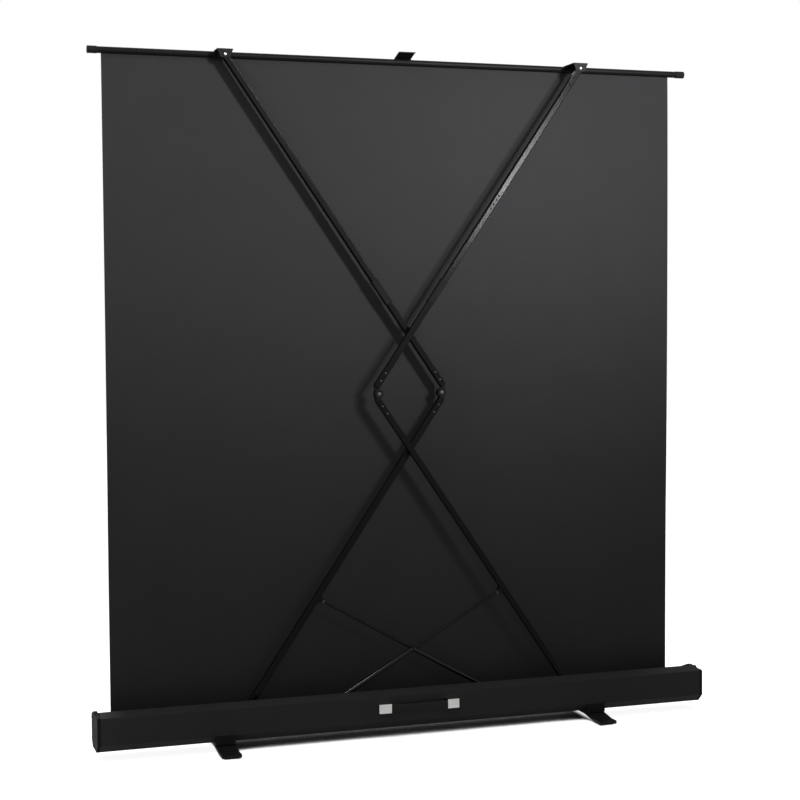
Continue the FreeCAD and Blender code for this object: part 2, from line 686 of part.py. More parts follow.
def strut_base_bracket(x, layer):
    """Pressed bracket on the casing floor, with the rivet heads of the lower pin of one gas strut.

    This pin is the open one of its linkage, so the pin itself belongs to the strut's eye.
    """
    half = STRUT_BRACKET_LENGTH / 2
    inside = STRUT_EYE_THICK / 2 + STRUT_CHEEK_GAP
    outside = inside + BRACKET_SHEET
    floor = box(x - half, x + half, layer - outside, layer + outside,
                CASING_FLOOR, CASING_FLOOR + CLEVIS_SHEET)
    pieces = []
    for way, low, high in ((1, inside, outside), (-1, -outside, -inside)):
        top = STRUT_BASE_Z + STRUT_CHEEK_EDGE
        pieces.append(box(x - half, x + half, layer + low, layer + high, CASING_FLOOR, top))
        pin_face = V(x, layer + way * outside, STRUT_BASE_Z)
        pieces.append(faceted_head(STRUT_PIN_RADIUS, PIN_PROUD, pin_face, Y_AXIS * way))
    return one_solid(floor.fuse(pieces))


def foot_saddle(x):
    """Moulded saddle that hugs the bottom of the casing and gives the foot a flat seat."""
    half = FOOT_WIDTH / 2
    face_low = CASING_BOTTOM + LOW_BEVEL_RISE
    points = [
        (REAR_Y, face_low), (REAR_Y, SADDLE_BOTTOM), (FRONT_Y, SADDLE_BOTTOM), (FRONT_Y, face_low),
        (FRONT_Y + LOW_BEVEL_DEPTH, CASING_BOTTOM), (REAR_Y - LOW_BEVEL_DEPTH, CASING_BOTTOM),
    ]
    block = face_in_yz(points, x - half).extrude(V(FOOT_WIDTH, 0, 0))
    uprights = [e for e in block.Edges if abs(e.tangentAt(e.FirstParameter).z) > ALONG_SHARE]
    uprights = [e for e in uprights if abs(abs(e.CenterOfMass.y) - REAR_Y) < INSERT_GAP]
    return block.makeChamfer(SADDLE_EDGE, uprights)


def foot_bolt(x):
    """Stud of the saddle that the foot swings on, with its hexagon head under the foot."""
    head_z = FOOT_UNDER - FOOT_BOLT_HEAD
    shank = rod(FOOT_BOLT_RADIUS, V(x, 0, head_z), Z_AXIS, SADDLE_BOTTOM - head_z)
    turn = 2 * math.pi / HEXAGON
    corners = [i * turn for i in range(HEXAGON)]
    loop = [V(x + FOOT_BOLT_HEAD_RADIUS * math.cos(a), FOOT_BOLT_HEAD_RADIUS * math.sin(a), head_z)
            for a in corners]
    head = Part.Face(Part.makePolygon(loop + [loop[0]])).extrude(V(0, 0, FOOT_BOLT_HEAD - SEAT_GAP))
    return one_solid(shank.fuse(head))


def chamfered_plate(x0, x1, y0, y1, z0, thick, corner):
    """Flat plate with its four corners cut off."""
    loop = [
        V(x0 + corner, y0, z0), V(x1 - corner, y0, z0), V(x1, y0 + corner, z0), V(x1, y1 - corner, z0),
        V(x1 - corner, y1, z0), V(x0 + corner, y1, z0), V(x0, y1 - corner, z0), V(x0, y0 + corner, z0),
    ]
    return Part.Face(Part.makePolygon(loop + [loop[0]])).extrude(V(0, 0, thick))


def foot_bar(x):
    """Flat steel foot crosswise under the casing, cranked down at both ends to its pads."""
    reach = REAR_Y + FOOT_REACH
    toe = reach - FOOT_TOE
    flat = REAR_Y - LOW_BEVEL_DEPTH
    under = [(-reach, PAD_THICK), (-toe, PAD_THICK), (-flat, FOOT_UNDER), (flat, FOOT_UNDER),
             (toe, PAD_THICK), (reach, PAD_THICK)]
    over = [(y, z + FOOT_THICK) for y, z in under]
    plate = face_in_yz(under + list(reversed(over)), x - FOOT_WIDTH / 2).extrude(V(FOOT_WIDTH, 0, 0))
    corners = [e for e in plate.Edges if abs(e.tangentAt(e.FirstParameter).z) > ALONG_SHARE]
    corners = [e for e in corners if abs(abs(e.CenterOfMass.y) - reach) < INSERT_GAP]
    plate = plate.makeChamfer(FOOT_CORNER, corners)
    start = V(x, 0, FOOT_UNDER - OVERRUN)
    return plate.cut(rod(FOOT_BOLT_RADIUS + RUN_CLEARANCE, start, Z_AXIS, FOOT_THICK + 2 * OVERRUN))


def foot_pads(x):
    """Rubber pads under the two ends of a foot."""
    half = PAD_WIDTH / 2
    far = REAR_Y + FOOT_REACH - PAD_INSET
    spans = ((far - PAD_LENGTH, far), (-far, PAD_LENGTH - far))
    return group([chamfered_plate(x - half, x + half, y0, y1, 0, PAD_THICK, PAD_CORNER) for y0, y1 in spans])


# Handle on the rear face

def strap_arc(offset, half):
    """Arc of the strap in plan, bowed away from the casing, moved out by an offset."""
    end_y = STRAP_INNER_Y + offset
    return Part.Arc(V(-half, end_y, 0), V(0, end_y + STRAP_BOW, 0), V(half, end_y, 0)).toShape()


def handle_strap():
    """Flexible strap whose ends sit loose inside the two caps."""
    half = HANDLE_LENGTH / 2 - STRAP_TUCK
    inner = strap_arc(0, half)
    outer = strap_arc(STRAP_THICK, half)
    across = Y_AXIS * STRAP_THICK
    corners = [V(way * half, STRAP_INNER_Y, 0) for way in (1, -1)]
    ends = [Part.LineSegment(corner, corner + across).toShape() for corner in corners]
    face = Part.Face(Part.Wire([inner, ends[0], outer, ends[1]]))
    strap = face.extrude(V(0, 0, STRAP_WIDTH))
    strap.translate(V(0, 0, HANDLE_Z - STRAP_WIDTH / 2))
    return strap


def cap_profile(inset, overrun):
    """Side profile of a strap cap in plan, from its open end round its rounded outer end."""
    outer_x = HANDLE_LENGTH / 2 - inset
    inner_x = HANDLE_LENGTH / 2 - HANDLE_CAP_LENGTH - overrun
    top = REAR_Y + HANDLE_CAP_HEIGHT - inset
    foot = REAR_Y - overrun
    radius = HANDLE_CAP_ROUND - inset
    middle = radius * (1 - math.sqrt(2) / 2)
    turns = [V(outer_x, top - radius, 0), V(outer_x - middle, top - middle, 0), V(outer_x - radius, top, 0)]
    line = [V(inner_x, top, 0), V(inner_x, foot, 0), V(outer_x, foot, 0), turns[0]]
    edges = [Part.Arc(*turns).toShape(), Part.LineSegment(turns[2], line[0]).toShape()]
    edges += [Part.LineSegment(a, b).toShape() for a, b in zip(line, line[1:])]
    return Part.Face(Part.Wire(Part.__sortEdges__(edges)))


def handle_cap(way):
    """Pressed nickel cap over one end of the strap, open towards the middle."""
    half = HANDLE_CAP_WIDTH / 2
    wall = HANDLE_CAP_WALL
    body = cap_profile(0, 0).extrude(V(0, 0, 2 * half))
    hollow = cap_profile(wall, OVERRUN).extrude(V(0, 0, 2 * (half - wall)))
    hollow.translate(V(0, 0, wall))
    inner_x = HANDLE_LENGTH / 2 - HANDLE_CAP_LENGTH
    flange = box(inner_x - HANDLE_FLANGE, inner_x + wall, REAR_Y, REAR_Y + wall, half, 2 * half)
    cap = one_solid(body.cut(hollow).fuse(flange))
    cap.translate(V(0, 0, HANDLE_Z - half))
    if way < 0:
        cap = cap.mirror(ORIGIN, X_AXIS)
    return cap


# Screws of the casing

def cap_screw(way, y, z):
    """Screw head on the outside of an end cap."""
    start = V(way * CASING_LENGTH / 2, y, z)
    return faceted_head(SCREW_HEAD_RADIUS, SCREW_HEAD_THICK, start, X_AXIS * way)


def casing_screws():
    """All screw heads on the end caps."""
    face_low = CASING_BOTTOM + LOW_BEVEL_RISE
    high = CASING_TOP - CAP_NOTCH_DROP - CAP_REAR_CHAMFER
    depths = (REAR_Y - CAP_SCREW_INSET, FRONT_Y + CAP_SCREW_INSET)
    heights = (face_low, high - CAP_SCREW_INSET)
    return group([cap_screw(way, y, z) for way in (-1, 1) for y in depths for z in heights])


# Roller, spring and fabric

def flat_ring(x0, length, sides, outer, inner):
    """Flat-sided sleeve about the roller's axis."""
    body = flat_sided(sides, outer * math.cos(math.pi / sides), V(x0, ROLL_Y, ROLL_Z), X_AXIS, length)
    hole = flat_sided(sides, inner, V(x0 - OVERRUN, ROLL_Y, ROLL_Z), X_AXIS, length + 2 * OVERRUN)
    return body.cut(hole)


def roller_bush(way):
    """Flat-sided bush in one end of the roller tube, turning on its shaft."""
    start = V(ROLLER_HALF_LENGTH - BUSH_LENGTH, ROLL_Y, ROLL_Z)
    inside = (ROLLER_RADIUS - ROLLER_WALL) * math.cos(math.pi / SEAT_SIDES)
    bush = flat_sided(SEAT_SIDES, inside, start, X_AXIS, BUSH_LENGTH)
    hole_start = start - X_AXIS * OVERRUN
    bush = bush.cut(rod(SHAFT_RADIUS + RUN_CLEARANCE, hole_start, X_AXIS, BUSH_LENGTH + 2 * OVERRUN))
    if way < 0:
        bush = bush.mirror(ORIGIN, X_AXIS)
    return bush


def cap_socket_end():
    """X of the bottom of the shaft socket in the end-cap boss."""
    return CASING_LENGTH / 2 - CAP_PLATE - CAP_BOSS_LENGTH + SHAFT_IN_CAP


def roller_shafts():
    """Short plain shaft at one end and the long spring shaft at the other."""
    far = cap_socket_end()
    short_start = ROLLER_HALF_LENGTH - BUSH_LENGTH
    short = rod(SHAFT_RADIUS, V(short_start, ROLL_Y, ROLL_Z), X_AXIS, far - short_start)
    long_start = -far
    long_run = far - ROLLER_HALF_LENGTH + SHAFT_INSIDE
    long_shaft = rod(SHAFT_RADIUS, V(long_start, ROLL_Y, ROLL_Z), X_AXIS, long_run)
    return group([short, long_shaft])


def winding_spring():
    """Winding spring on its shaft inside the roller, as a plain sleeve."""
    start = -ROLLER_HALF_LENGTH + BUSH_LENGTH + SPRING_FROM_BUSH
    return flat_ring(start, SPRING_LENGTH, SEAT_SIDES, SPRING_RADIUS, SHAFT_RADIUS)


def fabric_sheet():
    """Fabric from the front of the roll up into the slot of the bar."""
    roll_side = ROLL_Y - ROLLER_RADIUS - WRAPS_THICK - SEAT_GAP
    top = BAR_Z - BAR_RADIUS + BAR_WALL - SEAT_GAP
    points = [
        (roll_side, ROLL_Z), (roll_side - FABRIC_THICK, ROLL_Z),
        (BAR_Y - FABRIC_THICK / 2, top), (BAR_Y + FABRIC_THICK / 2, top),
    ]
    x0 = FABRIC_SHIFT - FABRIC_WIDTH / 2
    return face_in_yz(points, x0).extrude(V(FABRIC_WIDTH, 0, 0))


# Top bar

def top_bar():
    """Round bar with a slot along its underside for the fabric."""
    half = BAR_HALF_LENGTH - BAR_CAP_END
    bar = ring_tube(-half, half, BAR_RADIUS, BAR_RADIUS - BAR_WALL, BAR_Y, BAR_Z)
    slot = box(-half - OVERRUN, half + OVERRUN, BAR_Y - BAR_SLOT / 2, BAR_Y + BAR_SLOT / 2,
               BAR_Z - BAR_RADIUS - OVERRUN, BAR_Z - BAR_RADIUS / 2)
    return bar.cut(slot)


def bar_screws():
    """Screws of both brackets and of the pull tab."""
    return bracket_screws(-BASE_HALF_SPAN) + bracket_screws(BASE_HALF_SPAN) + tab_screws()


def bar_cap(way):
    """Push-on cap at one end of the bar, gripping it with flats inside."""
    inner_x = BAR_HALF_LENGTH - BAR_CAP_LENGTH
    cap = rod(BAR_RADIUS + BAR_CAP_WALL, V(inner_x, BAR_Y, BAR_Z), X_AXIS, BAR_CAP_LENGTH)
    socket_length = BAR_CAP_LENGTH - BAR_CAP_END + OVERRUN
    start = V(inner_x - OVERRUN, BAR_Y, BAR_Z)
    cap = cap.cut(flat_sided(SEAT_SIDES, BAR_RADIUS, start, X_AXIS, socket_length))
    if way < 0:
        cap = cap.mirror(ORIGIN, X_AXIS)
    return cap


def bar_clip(x0, x1, sheet):
    """Curved clip that hugs the upper half of the bar."""
    clip = ring_tube(x0, x1, BAR_RADIUS + sheet, BAR_RADIUS, BAR_Y, BAR_Z)
    reach = BAR_RADIUS + sheet + OVERRUN
    below = box(x0 - OVERRUN, x1 + OVERRUN, BAR_Y - reach, BAR_Y + reach, BAR_Z - reach, BAR_Z)
    return clip.cut(below)


def bar_screw(x, sheet):
    """Screw head on the front of a clip, where its screw goes into the bar."""
    start = V(x, BAR_Y, BAR_Z) + BAR_SCREW_WAY * (BAR_RADIUS + sheet)
    return faceted_head(SCREW_HEAD_RADIUS, SCREW_HEAD_THICK, start, BAR_SCREW_WAY)


def bar_bracket(x, layer):
    """Pressed bracket from the bar back over one arm end, with a cheek on each side of it."""
    half = BAR_BRACKET_WIDTH / 2
    top = PIN_Z + BRACKET_TOP
    under = top - BRACKET_SHEET
    plate = box(x - half, x + half, BAR_Y, layer + CHEEK_REACH, under, top)
    inside = ARM_DEPTH / 2 + CHEEK_GAP
    nose = (x - BAR_CHEEK_NOSE, x + BAR_CHEEK_NOSE, PIN_Z - END_LUG_RADIUS)
    pieces = [bar_clip(x - half, x + half, BRACKET_SHEET)]
    for low, high in ((inside, CHEEK_REACH), (-CHEEK_REACH, -inside)):
        pieces.append(tapered_cheek(x - half, x + half, under, nose, layer + low, layer + high))
    solid = one_solid(plate.fuse(pieces))
    return solid.cut(pin_seat(x, PIN_Z, REAR_LAYER + ARM_DEPTH))


def bracket_screws(x):
    """The two screws of one bar bracket."""
    return [bar_screw(x + way * BAR_SCREW_SPREAD, BRACKET_SHEET) for way in (-1, 1)]


def tab_screws():
    """The two screws of the pull tab."""
    return [bar_screw(way * BAR_SCREW_SPREAD, TAB_SHEET) for way in (-1, 1)]


def pull_tab():
    """Bent grip plate on top of the bar, leaning to the rear."""
    half = TAB_WIDTH / 2
    low = BAR_Z + BAR_RADIUS
    high = low + TAB_RISE
    tip = BAR_Y + TAB_REACH
    bend = tip - TAB_LIP
    set_back = TAB_SHEET / 4
    points = [
        (BAR_Y, low), (bend, high), (tip, high), (tip, high + TAB_SHEET),
        (bend - set_back, high + TAB_SHEET), (BAR_Y, low + TAB_SHEET),
    ]
    plate = face_in_yz(points, -half).extrude(V(TAB_WIDTH, 0, 0))
    return one_solid(plate.fuse(bar_clip(-half, half, TAB_SHEET)))


# Gas struts, built along X from the lower pin

def strut_eye(x_end, x_pin, y_half):
    """Flat eye of a strut: from x_end past its pin, with cut corners at the free end."""
    way = 1 if x_pin > x_end else -1
    far = x_pin + way * STRUT_EYE_HALF
    near_corner = far - way * STRUT_EYE_CORNER
    side = STRUT_EYE_HALF - STRUT_EYE_CORNER
    points = [
        (x_end, -STRUT_EYE_HALF), (near_corner, -STRUT_EYE_HALF), (far, -side),
        (far, side), (near_corner, STRUT_EYE_HALF), (x_end, STRUT_EYE_HALF),
    ]
    return face_in_xz(points, -y_half).extrude(V(0, 2 * y_half, 0))


def strut_cylinder():
    """Pressure tube, solid but for the rod's bore, with its lower eye round its own pin."""
    tube = rod(STRUT_BODY_RADIUS, V(STRUT_BODY_START, 0, 0), X_AXIS, STRUT_BODY_END - STRUT_BODY_START)
    bore_length = STRUT_BODY_END - STRUT_BORE_START + OVERRUN
    bore = rod(STRUT_ROD_RADIUS + RUN_CLEARANCE, V(STRUT_BORE_START, 0, 0), X_AXIS, bore_length)
    eye = strut_eye(STRUT_BODY_START, 0, STRUT_EYE_THICK / 2)
    return one_solid(tube.fuse(eye).cut(bore))


def strut_rod():
    """Rod with its upper eye, which turns on the clevis pin."""
    eye_end = STRUT_LENGTH - STRUT_EYE_REACH
    shank = rod(STRUT_ROD_RADIUS, V(STRUT_ROD_START, 0, 0), X_AXIS, eye_end - STRUT_ROD_START)
    solid = one_solid(shank.fuse(strut_eye(eye_end, STRUT_LENGTH, STRUT_EYE_THICK / 2)))
    hole = STRUT_PIN_RADIUS + RUN_CLEARANCE
    return solid.cut(cross_pin(STRUT_LENGTH, 0, hole, -ARM_DEPTH, ARM_DEPTH))


def place_rear_strut(shape):
    """Carry a strut piece to the rear strut: lower pin on the +X side, rising to -X."""
    placed = shape.copy()
    placed.rotate(ORIGIN, Y_AXIS, -math.degrees(STRUT_ANGLE))
    placed = placed.mirror(ORIGIN, X_AXIS)
    placed.translate(V(STRUT_BASE_STATION, REAR_LAYER, STRUT_BASE_Z))
    return placed


def build_nodes():
    """Every named node of the screen."""
    nodes = {}
    nodes["casing_shell"] = casing_shell()
    left_cap = end_cap()
    nodes["end_cap_left"] = left_cap
    nodes["end_cap_right"] = left_cap.mirror(ORIGIN, X_AXIS)
    nodes["casing_screws"] = casing_screws()

    arm_places = [(-BASE_HALF_SPAN, REAR_LAYER), (BASE_HALF_SPAN, FRONT_LAYER)]
    strut_places = [(STRUT_BASE_STATION, REAR_LAYER), (-STRUT_BASE_STATION, FRONT_LAYER)]
    nodes["arm_base_brackets"] = group([arm_base_bracket(x, layer) for x, layer in arm_places])
    nodes["strut_base_brackets"] = group([strut_base_bracket(x, layer) for x, layer in strut_places])

    for side, way in (("left", 1), ("right", -1)):
        x = way * FOOT_STATION
        nodes["foot_saddle_" + side] = foot_saddle(x)
        nodes["foot_bar_" + side] = foot_bar(x)
        nodes["foot_pads_" + side] = foot_pads(x)
    nodes["foot_bolts"] = group([foot_bolt(way * FOOT_STATION) for way in (1, -1)])

    nodes["handle_strap"] = handle_strap()
    nodes["handle_caps"] = group([handle_cap(1), handle_cap(-1)])

    nodes["roller_tube"] = ring_tube(-ROLLER_HALF_LENGTH, ROLLER_HALF_LENGTH, ROLLER_RADIUS,
                                     ROLLER_RADIUS - ROLLER_WALL, ROLL_Y, ROLL_Z)
    wraps_x = FABRIC_SHIFT - FABRIC_WIDTH / 2
    nodes["fabric_wraps"] = flat_ring(wraps_x, FABRIC_WIDTH, WRAP_SIDES, ROLLER_RADIUS + WRAPS_THICK,
                                      ROLLER_RADIUS)
    nodes["roller_bushes"] = group([roller_bush(1), roller_bush(-1)])
    nodes["roller_shafts"] = roller_shafts()
    nodes["winding_spring"] = winding_spring()
    nodes["screen_fabric"] = fabric_sheet()

    for name, shape in lower_arm().items():
        rear = place_rear_lower(shape)
        nodes["rear_" + name] = rear
        nodes["front_" + name] = to_front_layer(rear)
    for name, shape in upper_arm().items():
        rear = place_rear_upper(shape)
        nodes["rear_" + name] = rear
        nodes["front_" + name] = to_front_layer(rear)
    for name, shape in (("strut_cylinder", strut_cylinder()), ("strut_rod", strut_rod())):
        rear = place_rear_strut(shape)
        nodes["rear_" + name] = rear
        nodes["front_" + name] = to_front_layer(rear)

    nodes["top_bar"] = top_bar()
    nodes["bar_caps"] = group([bar_cap(1), bar_cap(-1)])
    nodes["bar_bracket_rear"] = bar_bracket(-BASE_HALF_SPAN, REAR_LAYER)
    nodes["bar_bracket_front"] = bar_bracket(BASE_HALF_SPAN, FRONT_LAYER)
    nodes["bar_pins"] = group([pivot_pin(x, PIN_Z, layer) for x, layer in arm_places])
    nodes["pull_tab"] = pull_tab()
    nodes["bar_screws"] = group(bar_screws())
    welt_start = V(-WELT_HALF, BAR_Y, WELT_Z)
    welt_flat = WELT_RADIUS * math.cos(math.pi / HEAD_SIDES)
    nodes["welt_rod"] = flat_sided(HEAD_SIDES, welt_flat, welt_start, X_AXIS, 2 * WELT_HALF)
    return nodes


def main():
    """Write one STEP file for each node."""
    os.makedirs("parts", exist_ok=True)
    for name, shape in build_nodes().items():
        shape.exportStep(os.path.join("parts", name + ".step"))


main()
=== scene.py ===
"""Looks of a portable pull-up projection screen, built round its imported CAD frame.

Lengths are in metres in the frame of the CAD model: +Z up, +X along the casing, and +Y to the
rear, the side with the crossed arms. Every piece has its place in its mesh.
"""
import json
import logging
from dataclasses import dataclass
from enum import Enum
from math import atan2, cos, inf, isinf, pi, radians, sin, tan
from typing import Iterable, Optional, Sequence, Union

import bmesh
import bpy
from mathutils import Matrix, Vector


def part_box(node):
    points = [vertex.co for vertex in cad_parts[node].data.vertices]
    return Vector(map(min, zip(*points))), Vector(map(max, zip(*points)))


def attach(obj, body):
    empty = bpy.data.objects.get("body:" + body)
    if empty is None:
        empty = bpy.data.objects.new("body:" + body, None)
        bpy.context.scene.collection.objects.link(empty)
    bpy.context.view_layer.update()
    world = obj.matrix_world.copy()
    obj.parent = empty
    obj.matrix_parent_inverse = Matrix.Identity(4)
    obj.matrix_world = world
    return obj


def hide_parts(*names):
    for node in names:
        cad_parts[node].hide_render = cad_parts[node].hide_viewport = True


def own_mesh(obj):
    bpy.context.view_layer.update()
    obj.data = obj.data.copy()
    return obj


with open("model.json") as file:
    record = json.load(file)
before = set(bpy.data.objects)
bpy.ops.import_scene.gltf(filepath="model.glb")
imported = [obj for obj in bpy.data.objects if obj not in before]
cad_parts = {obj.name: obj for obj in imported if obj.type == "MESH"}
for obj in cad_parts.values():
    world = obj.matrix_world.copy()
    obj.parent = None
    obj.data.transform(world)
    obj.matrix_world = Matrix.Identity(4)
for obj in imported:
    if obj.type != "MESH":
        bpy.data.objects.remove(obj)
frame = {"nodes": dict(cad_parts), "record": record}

log = logging.getLogger("screen")
Point = tuple[float, float, float]
Pair = tuple[float, float]
Outline = Sequence[Pair]
Seat = tuple[Vector, Vector]
Object = bpy.types.Object
Mesh = bpy.types.Mesh
Shape = bmesh.types.BMesh
Tree = bpy.types.NodeTree
REAR_LAYER = 0.022
FRONT_LAYER = -0.0045
MERGE_DISTANCE = 1e-6
ON_AXIS = 1e-7
BLACK = (0.0, 0.0, 0.0, 1.0)
WHITE = (1.0, 1.0, 1.0, 1.0)
RAY_KINDS = ("Is Camera Ray", "Is Transmission Ray", "Is Glossy Ray")


def placed(name: str, data: bpy.types.ID) -> Object:
    """New object in the scene.

    Args:
        name: Its name.
        data: Its mesh, light or camera.

    Returns:
        The object.
    """
    made = bpy.data.objects.new(name, data)
    bpy.context.scene.collection.objects.link(made)
    return made


# Node trees

class Sock:
    """One output socket of a node tree, on which arithmetic adds Math nodes."""

    def __init__(self, graph: "Graph", socket: bpy.types.NodeSocket) -> None:
        """Keep the socket and the tree it belongs to."""
        self.graph = graph
        self.socket = socket

    def _math(self, operation: str, first: "Value", second: "Value" = 0.0) -> "Sock":
        """Result of a Math node on two values."""
        return self.graph.value("ShaderNodeMath", {0: first, 1: second}, {"operation": operation})

    def __add__(self, other: "Value") -> "Sock":
        """Sum with another value."""
        return self._math("ADD", self, other)

    __radd__ = __add__

    def __mul__(self, other: "Value") -> "Sock":
        """Product with another value."""
        return self._math("MULTIPLY", self, other)

    def __sub__(self, other: "Value") -> "Sock":
        """Difference from another value."""
        return self._math("SUBTRACT", self, other)

    def __rsub__(self, other: "Value") -> "Sock":
        """A number minus this value."""
        return self._math("SUBTRACT", other, self)

    def __gt__(self, other: "Value") -> "Sock":
        """1 where this value is above another, else 0."""
        return self._math("GREATER_THAN", self, other)

    def __lt__(self, other: "Value") -> "Sock":
        """1 where this value is below another, else 0."""
        return self._math("LESS_THAN", self, other)

    def wave(self) -> "Sock":
        """Sine of this value, in radians."""
        return self._math("SINE", self)

    def size(self) -> "Sock":
        """This value without its sign."""
        return self._math("ABSOLUTE", self)

    def most(self, other: "Value") -> "Sock":
        """The larger of this and another value."""
        return self._math("MAXIMUM", self, other)

    def least(self, other: "Value") -> "Sock":
        """The smaller of this and another value."""
        return self._math("MINIMUM", self, other)


Value = Union[Sock, float, str, Sequence[float]]


class Graph:
    """A node tree and the one way in which this script adds nodes to it."""

    def __init__(self, tree: Tree) -> None:
        """Take a tree and empty it."""
        self.tree = tree
        tree.nodes.clear()

    def node(self, kind: str, values: Optional[dict] = None,
             settings: Optional[dict] = None) -> bpy.types.Node:
        """Add a node, set it up and feed its sockets.

        Args:
            kind: The node's type.
            values: Numbers, colours or sockets, by input name or number.
            settings: Its own settings, set first.

        Returns:
            The node.
        """
        made = self.tree.nodes.new(kind)
        for key, value in (settings or {}).items():
            setattr(made, key, value)
        for key, value in (values or {}).items():
            self.feed(made, key, value)
        return made

    def feed(self, node: bpy.types.Node, key: Union[str, int], value: Value) -> None:
        """Set or link one input.

        Args:
            node: The node.
            key: The input's name or number.
            value: A number, colour or socket.
        """
        if isinstance(value, Sock):
            self.tree.links.new(value.socket, node.inputs[key])
        else:
            node.inputs[key].default_value = value

    def value(self, kind: str, values: Optional[dict] = None, settings: Optional[dict] = None,
              out: Union[str, int] = 0) -> Sock:
        """Add a node and hand back one of its outputs."""
        return Sock(self, self.node(kind, values, settings).outputs[out])

    def outputs(self, kind: str, *names: str) -> list[Sock]:
        """Add a node and hand back its outputs of these names."""
        made = self.node(kind)
        return [Sock(self, made.outputs[name]) for name in names]

    def vector(self, x: Value, y: Value, z: Value) -> Sock:
        """Vector of three numbers or sockets."""
        return self.value("ShaderNodeCombineXYZ", {0: x, 1: y, 2: z})


class Growth(Graph):
    """A geometry tree with a seed mesh, named sizes and a finish going in."""

    def __init__(self, name: str, *sizes: str) -> None:
        """Start the tree.

        Args:
            name: Its name.
            sizes: Names of its sizes.
        """
        super().__init__(bpy.data.node_groups.new(name, "GeometryNodeTree"))
        face = self.tree.interface.new_socket
        inputs = {"Geometry": "Geometry", **dict.fromkeys(sizes, "Float"), "Finish": "Material"}
        for item, kind in inputs.items():
            face(item, in_out="INPUT", socket_type="NodeSocket" + kind)
        face("Geometry", in_out="OUTPUT", socket_type="NodeSocketGeometry")
        self.start = self.node("NodeGroupInput")

    def given(self, name: str) -> Sock:
        """The input of this name."""
        return Sock(self, self.start.outputs[name])

    def close(self, shape: Sock) -> Tree:
        """End the tree with real meshes in the finish.

        Args:
            shape: What the tree has made.

        Returns:
            The tree.
        """
        real = self.value("GeometryNodeRealizeInstances", {0: shape})
        dressed = self.value("GeometryNodeSetMaterial", {0: real, "Material": self.given("Finish")})
        self.node("NodeGroupOutput", {0: dressed})
        return self.tree


def grown(seed: Mesh, tree: Tree, sizes: dict[str, object]) -> Mesh:
    """Plain mesh that a node tree makes from a seed.

    Args:
        seed: Mesh that goes into the tree.
        tree: The tree.
        sizes: Its inputs by name.

    Returns:
        The mesh.
    """
    holder = placed("holder", seed)
    modifier = holder.modifiers.new("grow", "NODES")
    modifier.node_group = tree
    for item in tree.interface.items_tree:
        if item.in_out == "INPUT" and item.name in sizes:
            modifier[item.identifier] = sizes[item.name]
    bpy.context.view_layer.update()
    mesh = bpy.data.meshes.new_from_object(holder.evaluated_get(bpy.context.evaluated_depsgraph_get()))
    holder.modifiers.remove(modifier)
    bpy.data.objects.remove(holder)
    return mesh


# Materials

class NodeBook(Graph):
    """A material's tree round its main shader."""

    def __init__(self, name: str) -> None:
        """Start a material with its output and main shader.

        Args:
            name: Its name.
        """
        self.material = bpy.data.materials.new(name)
        self.material.use_nodes = True
        super().__init__(self.material.node_tree)
        self.shader = self.node("ShaderNodeBsdfPrincipled")
        self.lit = Sock(self, self.shader.outputs[0])
        self.output = self.node("ShaderNodeOutputMaterial", {0: self.lit})

    def place(self, source: str = "Object", stretch: Point = (1.0, 1.0, 1.0)) -> Sock:
        """Texture coordinates, of the object or of its UV, stretched along the three axes."""
        raw = self.value("ShaderNodeTexCoord", out=source)
        return self.value("ShaderNodeMapping", {"Vector": raw, "Scale": stretch})

    def axis(self, vector: Sock, name: str) -> Sock:
        """One of a vector's X, Y and Z."""
        return self.value("ShaderNodeSeparateXYZ", {0: vector}, out=name)

    def noise(self, where: Sock, scale: float, detail: float, rough: float = 0.5) -> Sock:
        """Fractal noise from 0 to 1; the scale is in cells to a metre."""
        feeds = {"Vector": where, "Scale": scale, "Detail": detail, "Roughness": rough}
        return self.value("ShaderNodeTexNoise", feeds, {"noise_dimensions": "3D"})

    def cells(self, where: Sock, scale: float) -> Sock:
        """Distance to the nearest point of a random grid."""
        return self.value("ShaderNodeTexVoronoi", {"Vector": where, "Scale": scale}, out="Distance")

    def ramp(self, value: Sock, low: float, high: float) -> Sock:
        """Smooth step of a value, from 0 below low to 1 above high."""
        feeds = {"Value": value, "From Min": low, "From Max": high}
        return self.value("ShaderNodeMapRange", feeds, {"interpolation_type": "SMOOTHSTEP"})

    def blend(self, share: Value, first: Value, second: Value) -> Sock:
        """Mix of two colours, from the first at share 0 to the second at 1."""
        return self.value("ShaderNodeMix", {0: share, 6: first, 7: second}, {"data_type": "RGBA"}, 2)

    def bump(self, height: Sock, depth: float, strength: float) -> None:
        """Send a height of 0 to 1, this many metres deep, to the shader's normal."""
        feeds = {"Strength": strength, "Distance": depth, "Height": height}
        self.feed(self.shader, "Normal", self.value("ShaderNodeBump", feeds))

    def paint(self, **values: Value) -> None:
        """Feed the shader's inputs, named with underscores for blanks."""
        for key, value in values.items():
            self.feed(self.shader, key.replace("_", " "), value)


def rgba(colour: Sequence[float], factor: float = 1.0) -> tuple[float, float, float, float]:
    """Colour with full alpha, scaled."""
    return (*(part * factor for part in colour), 1.0)


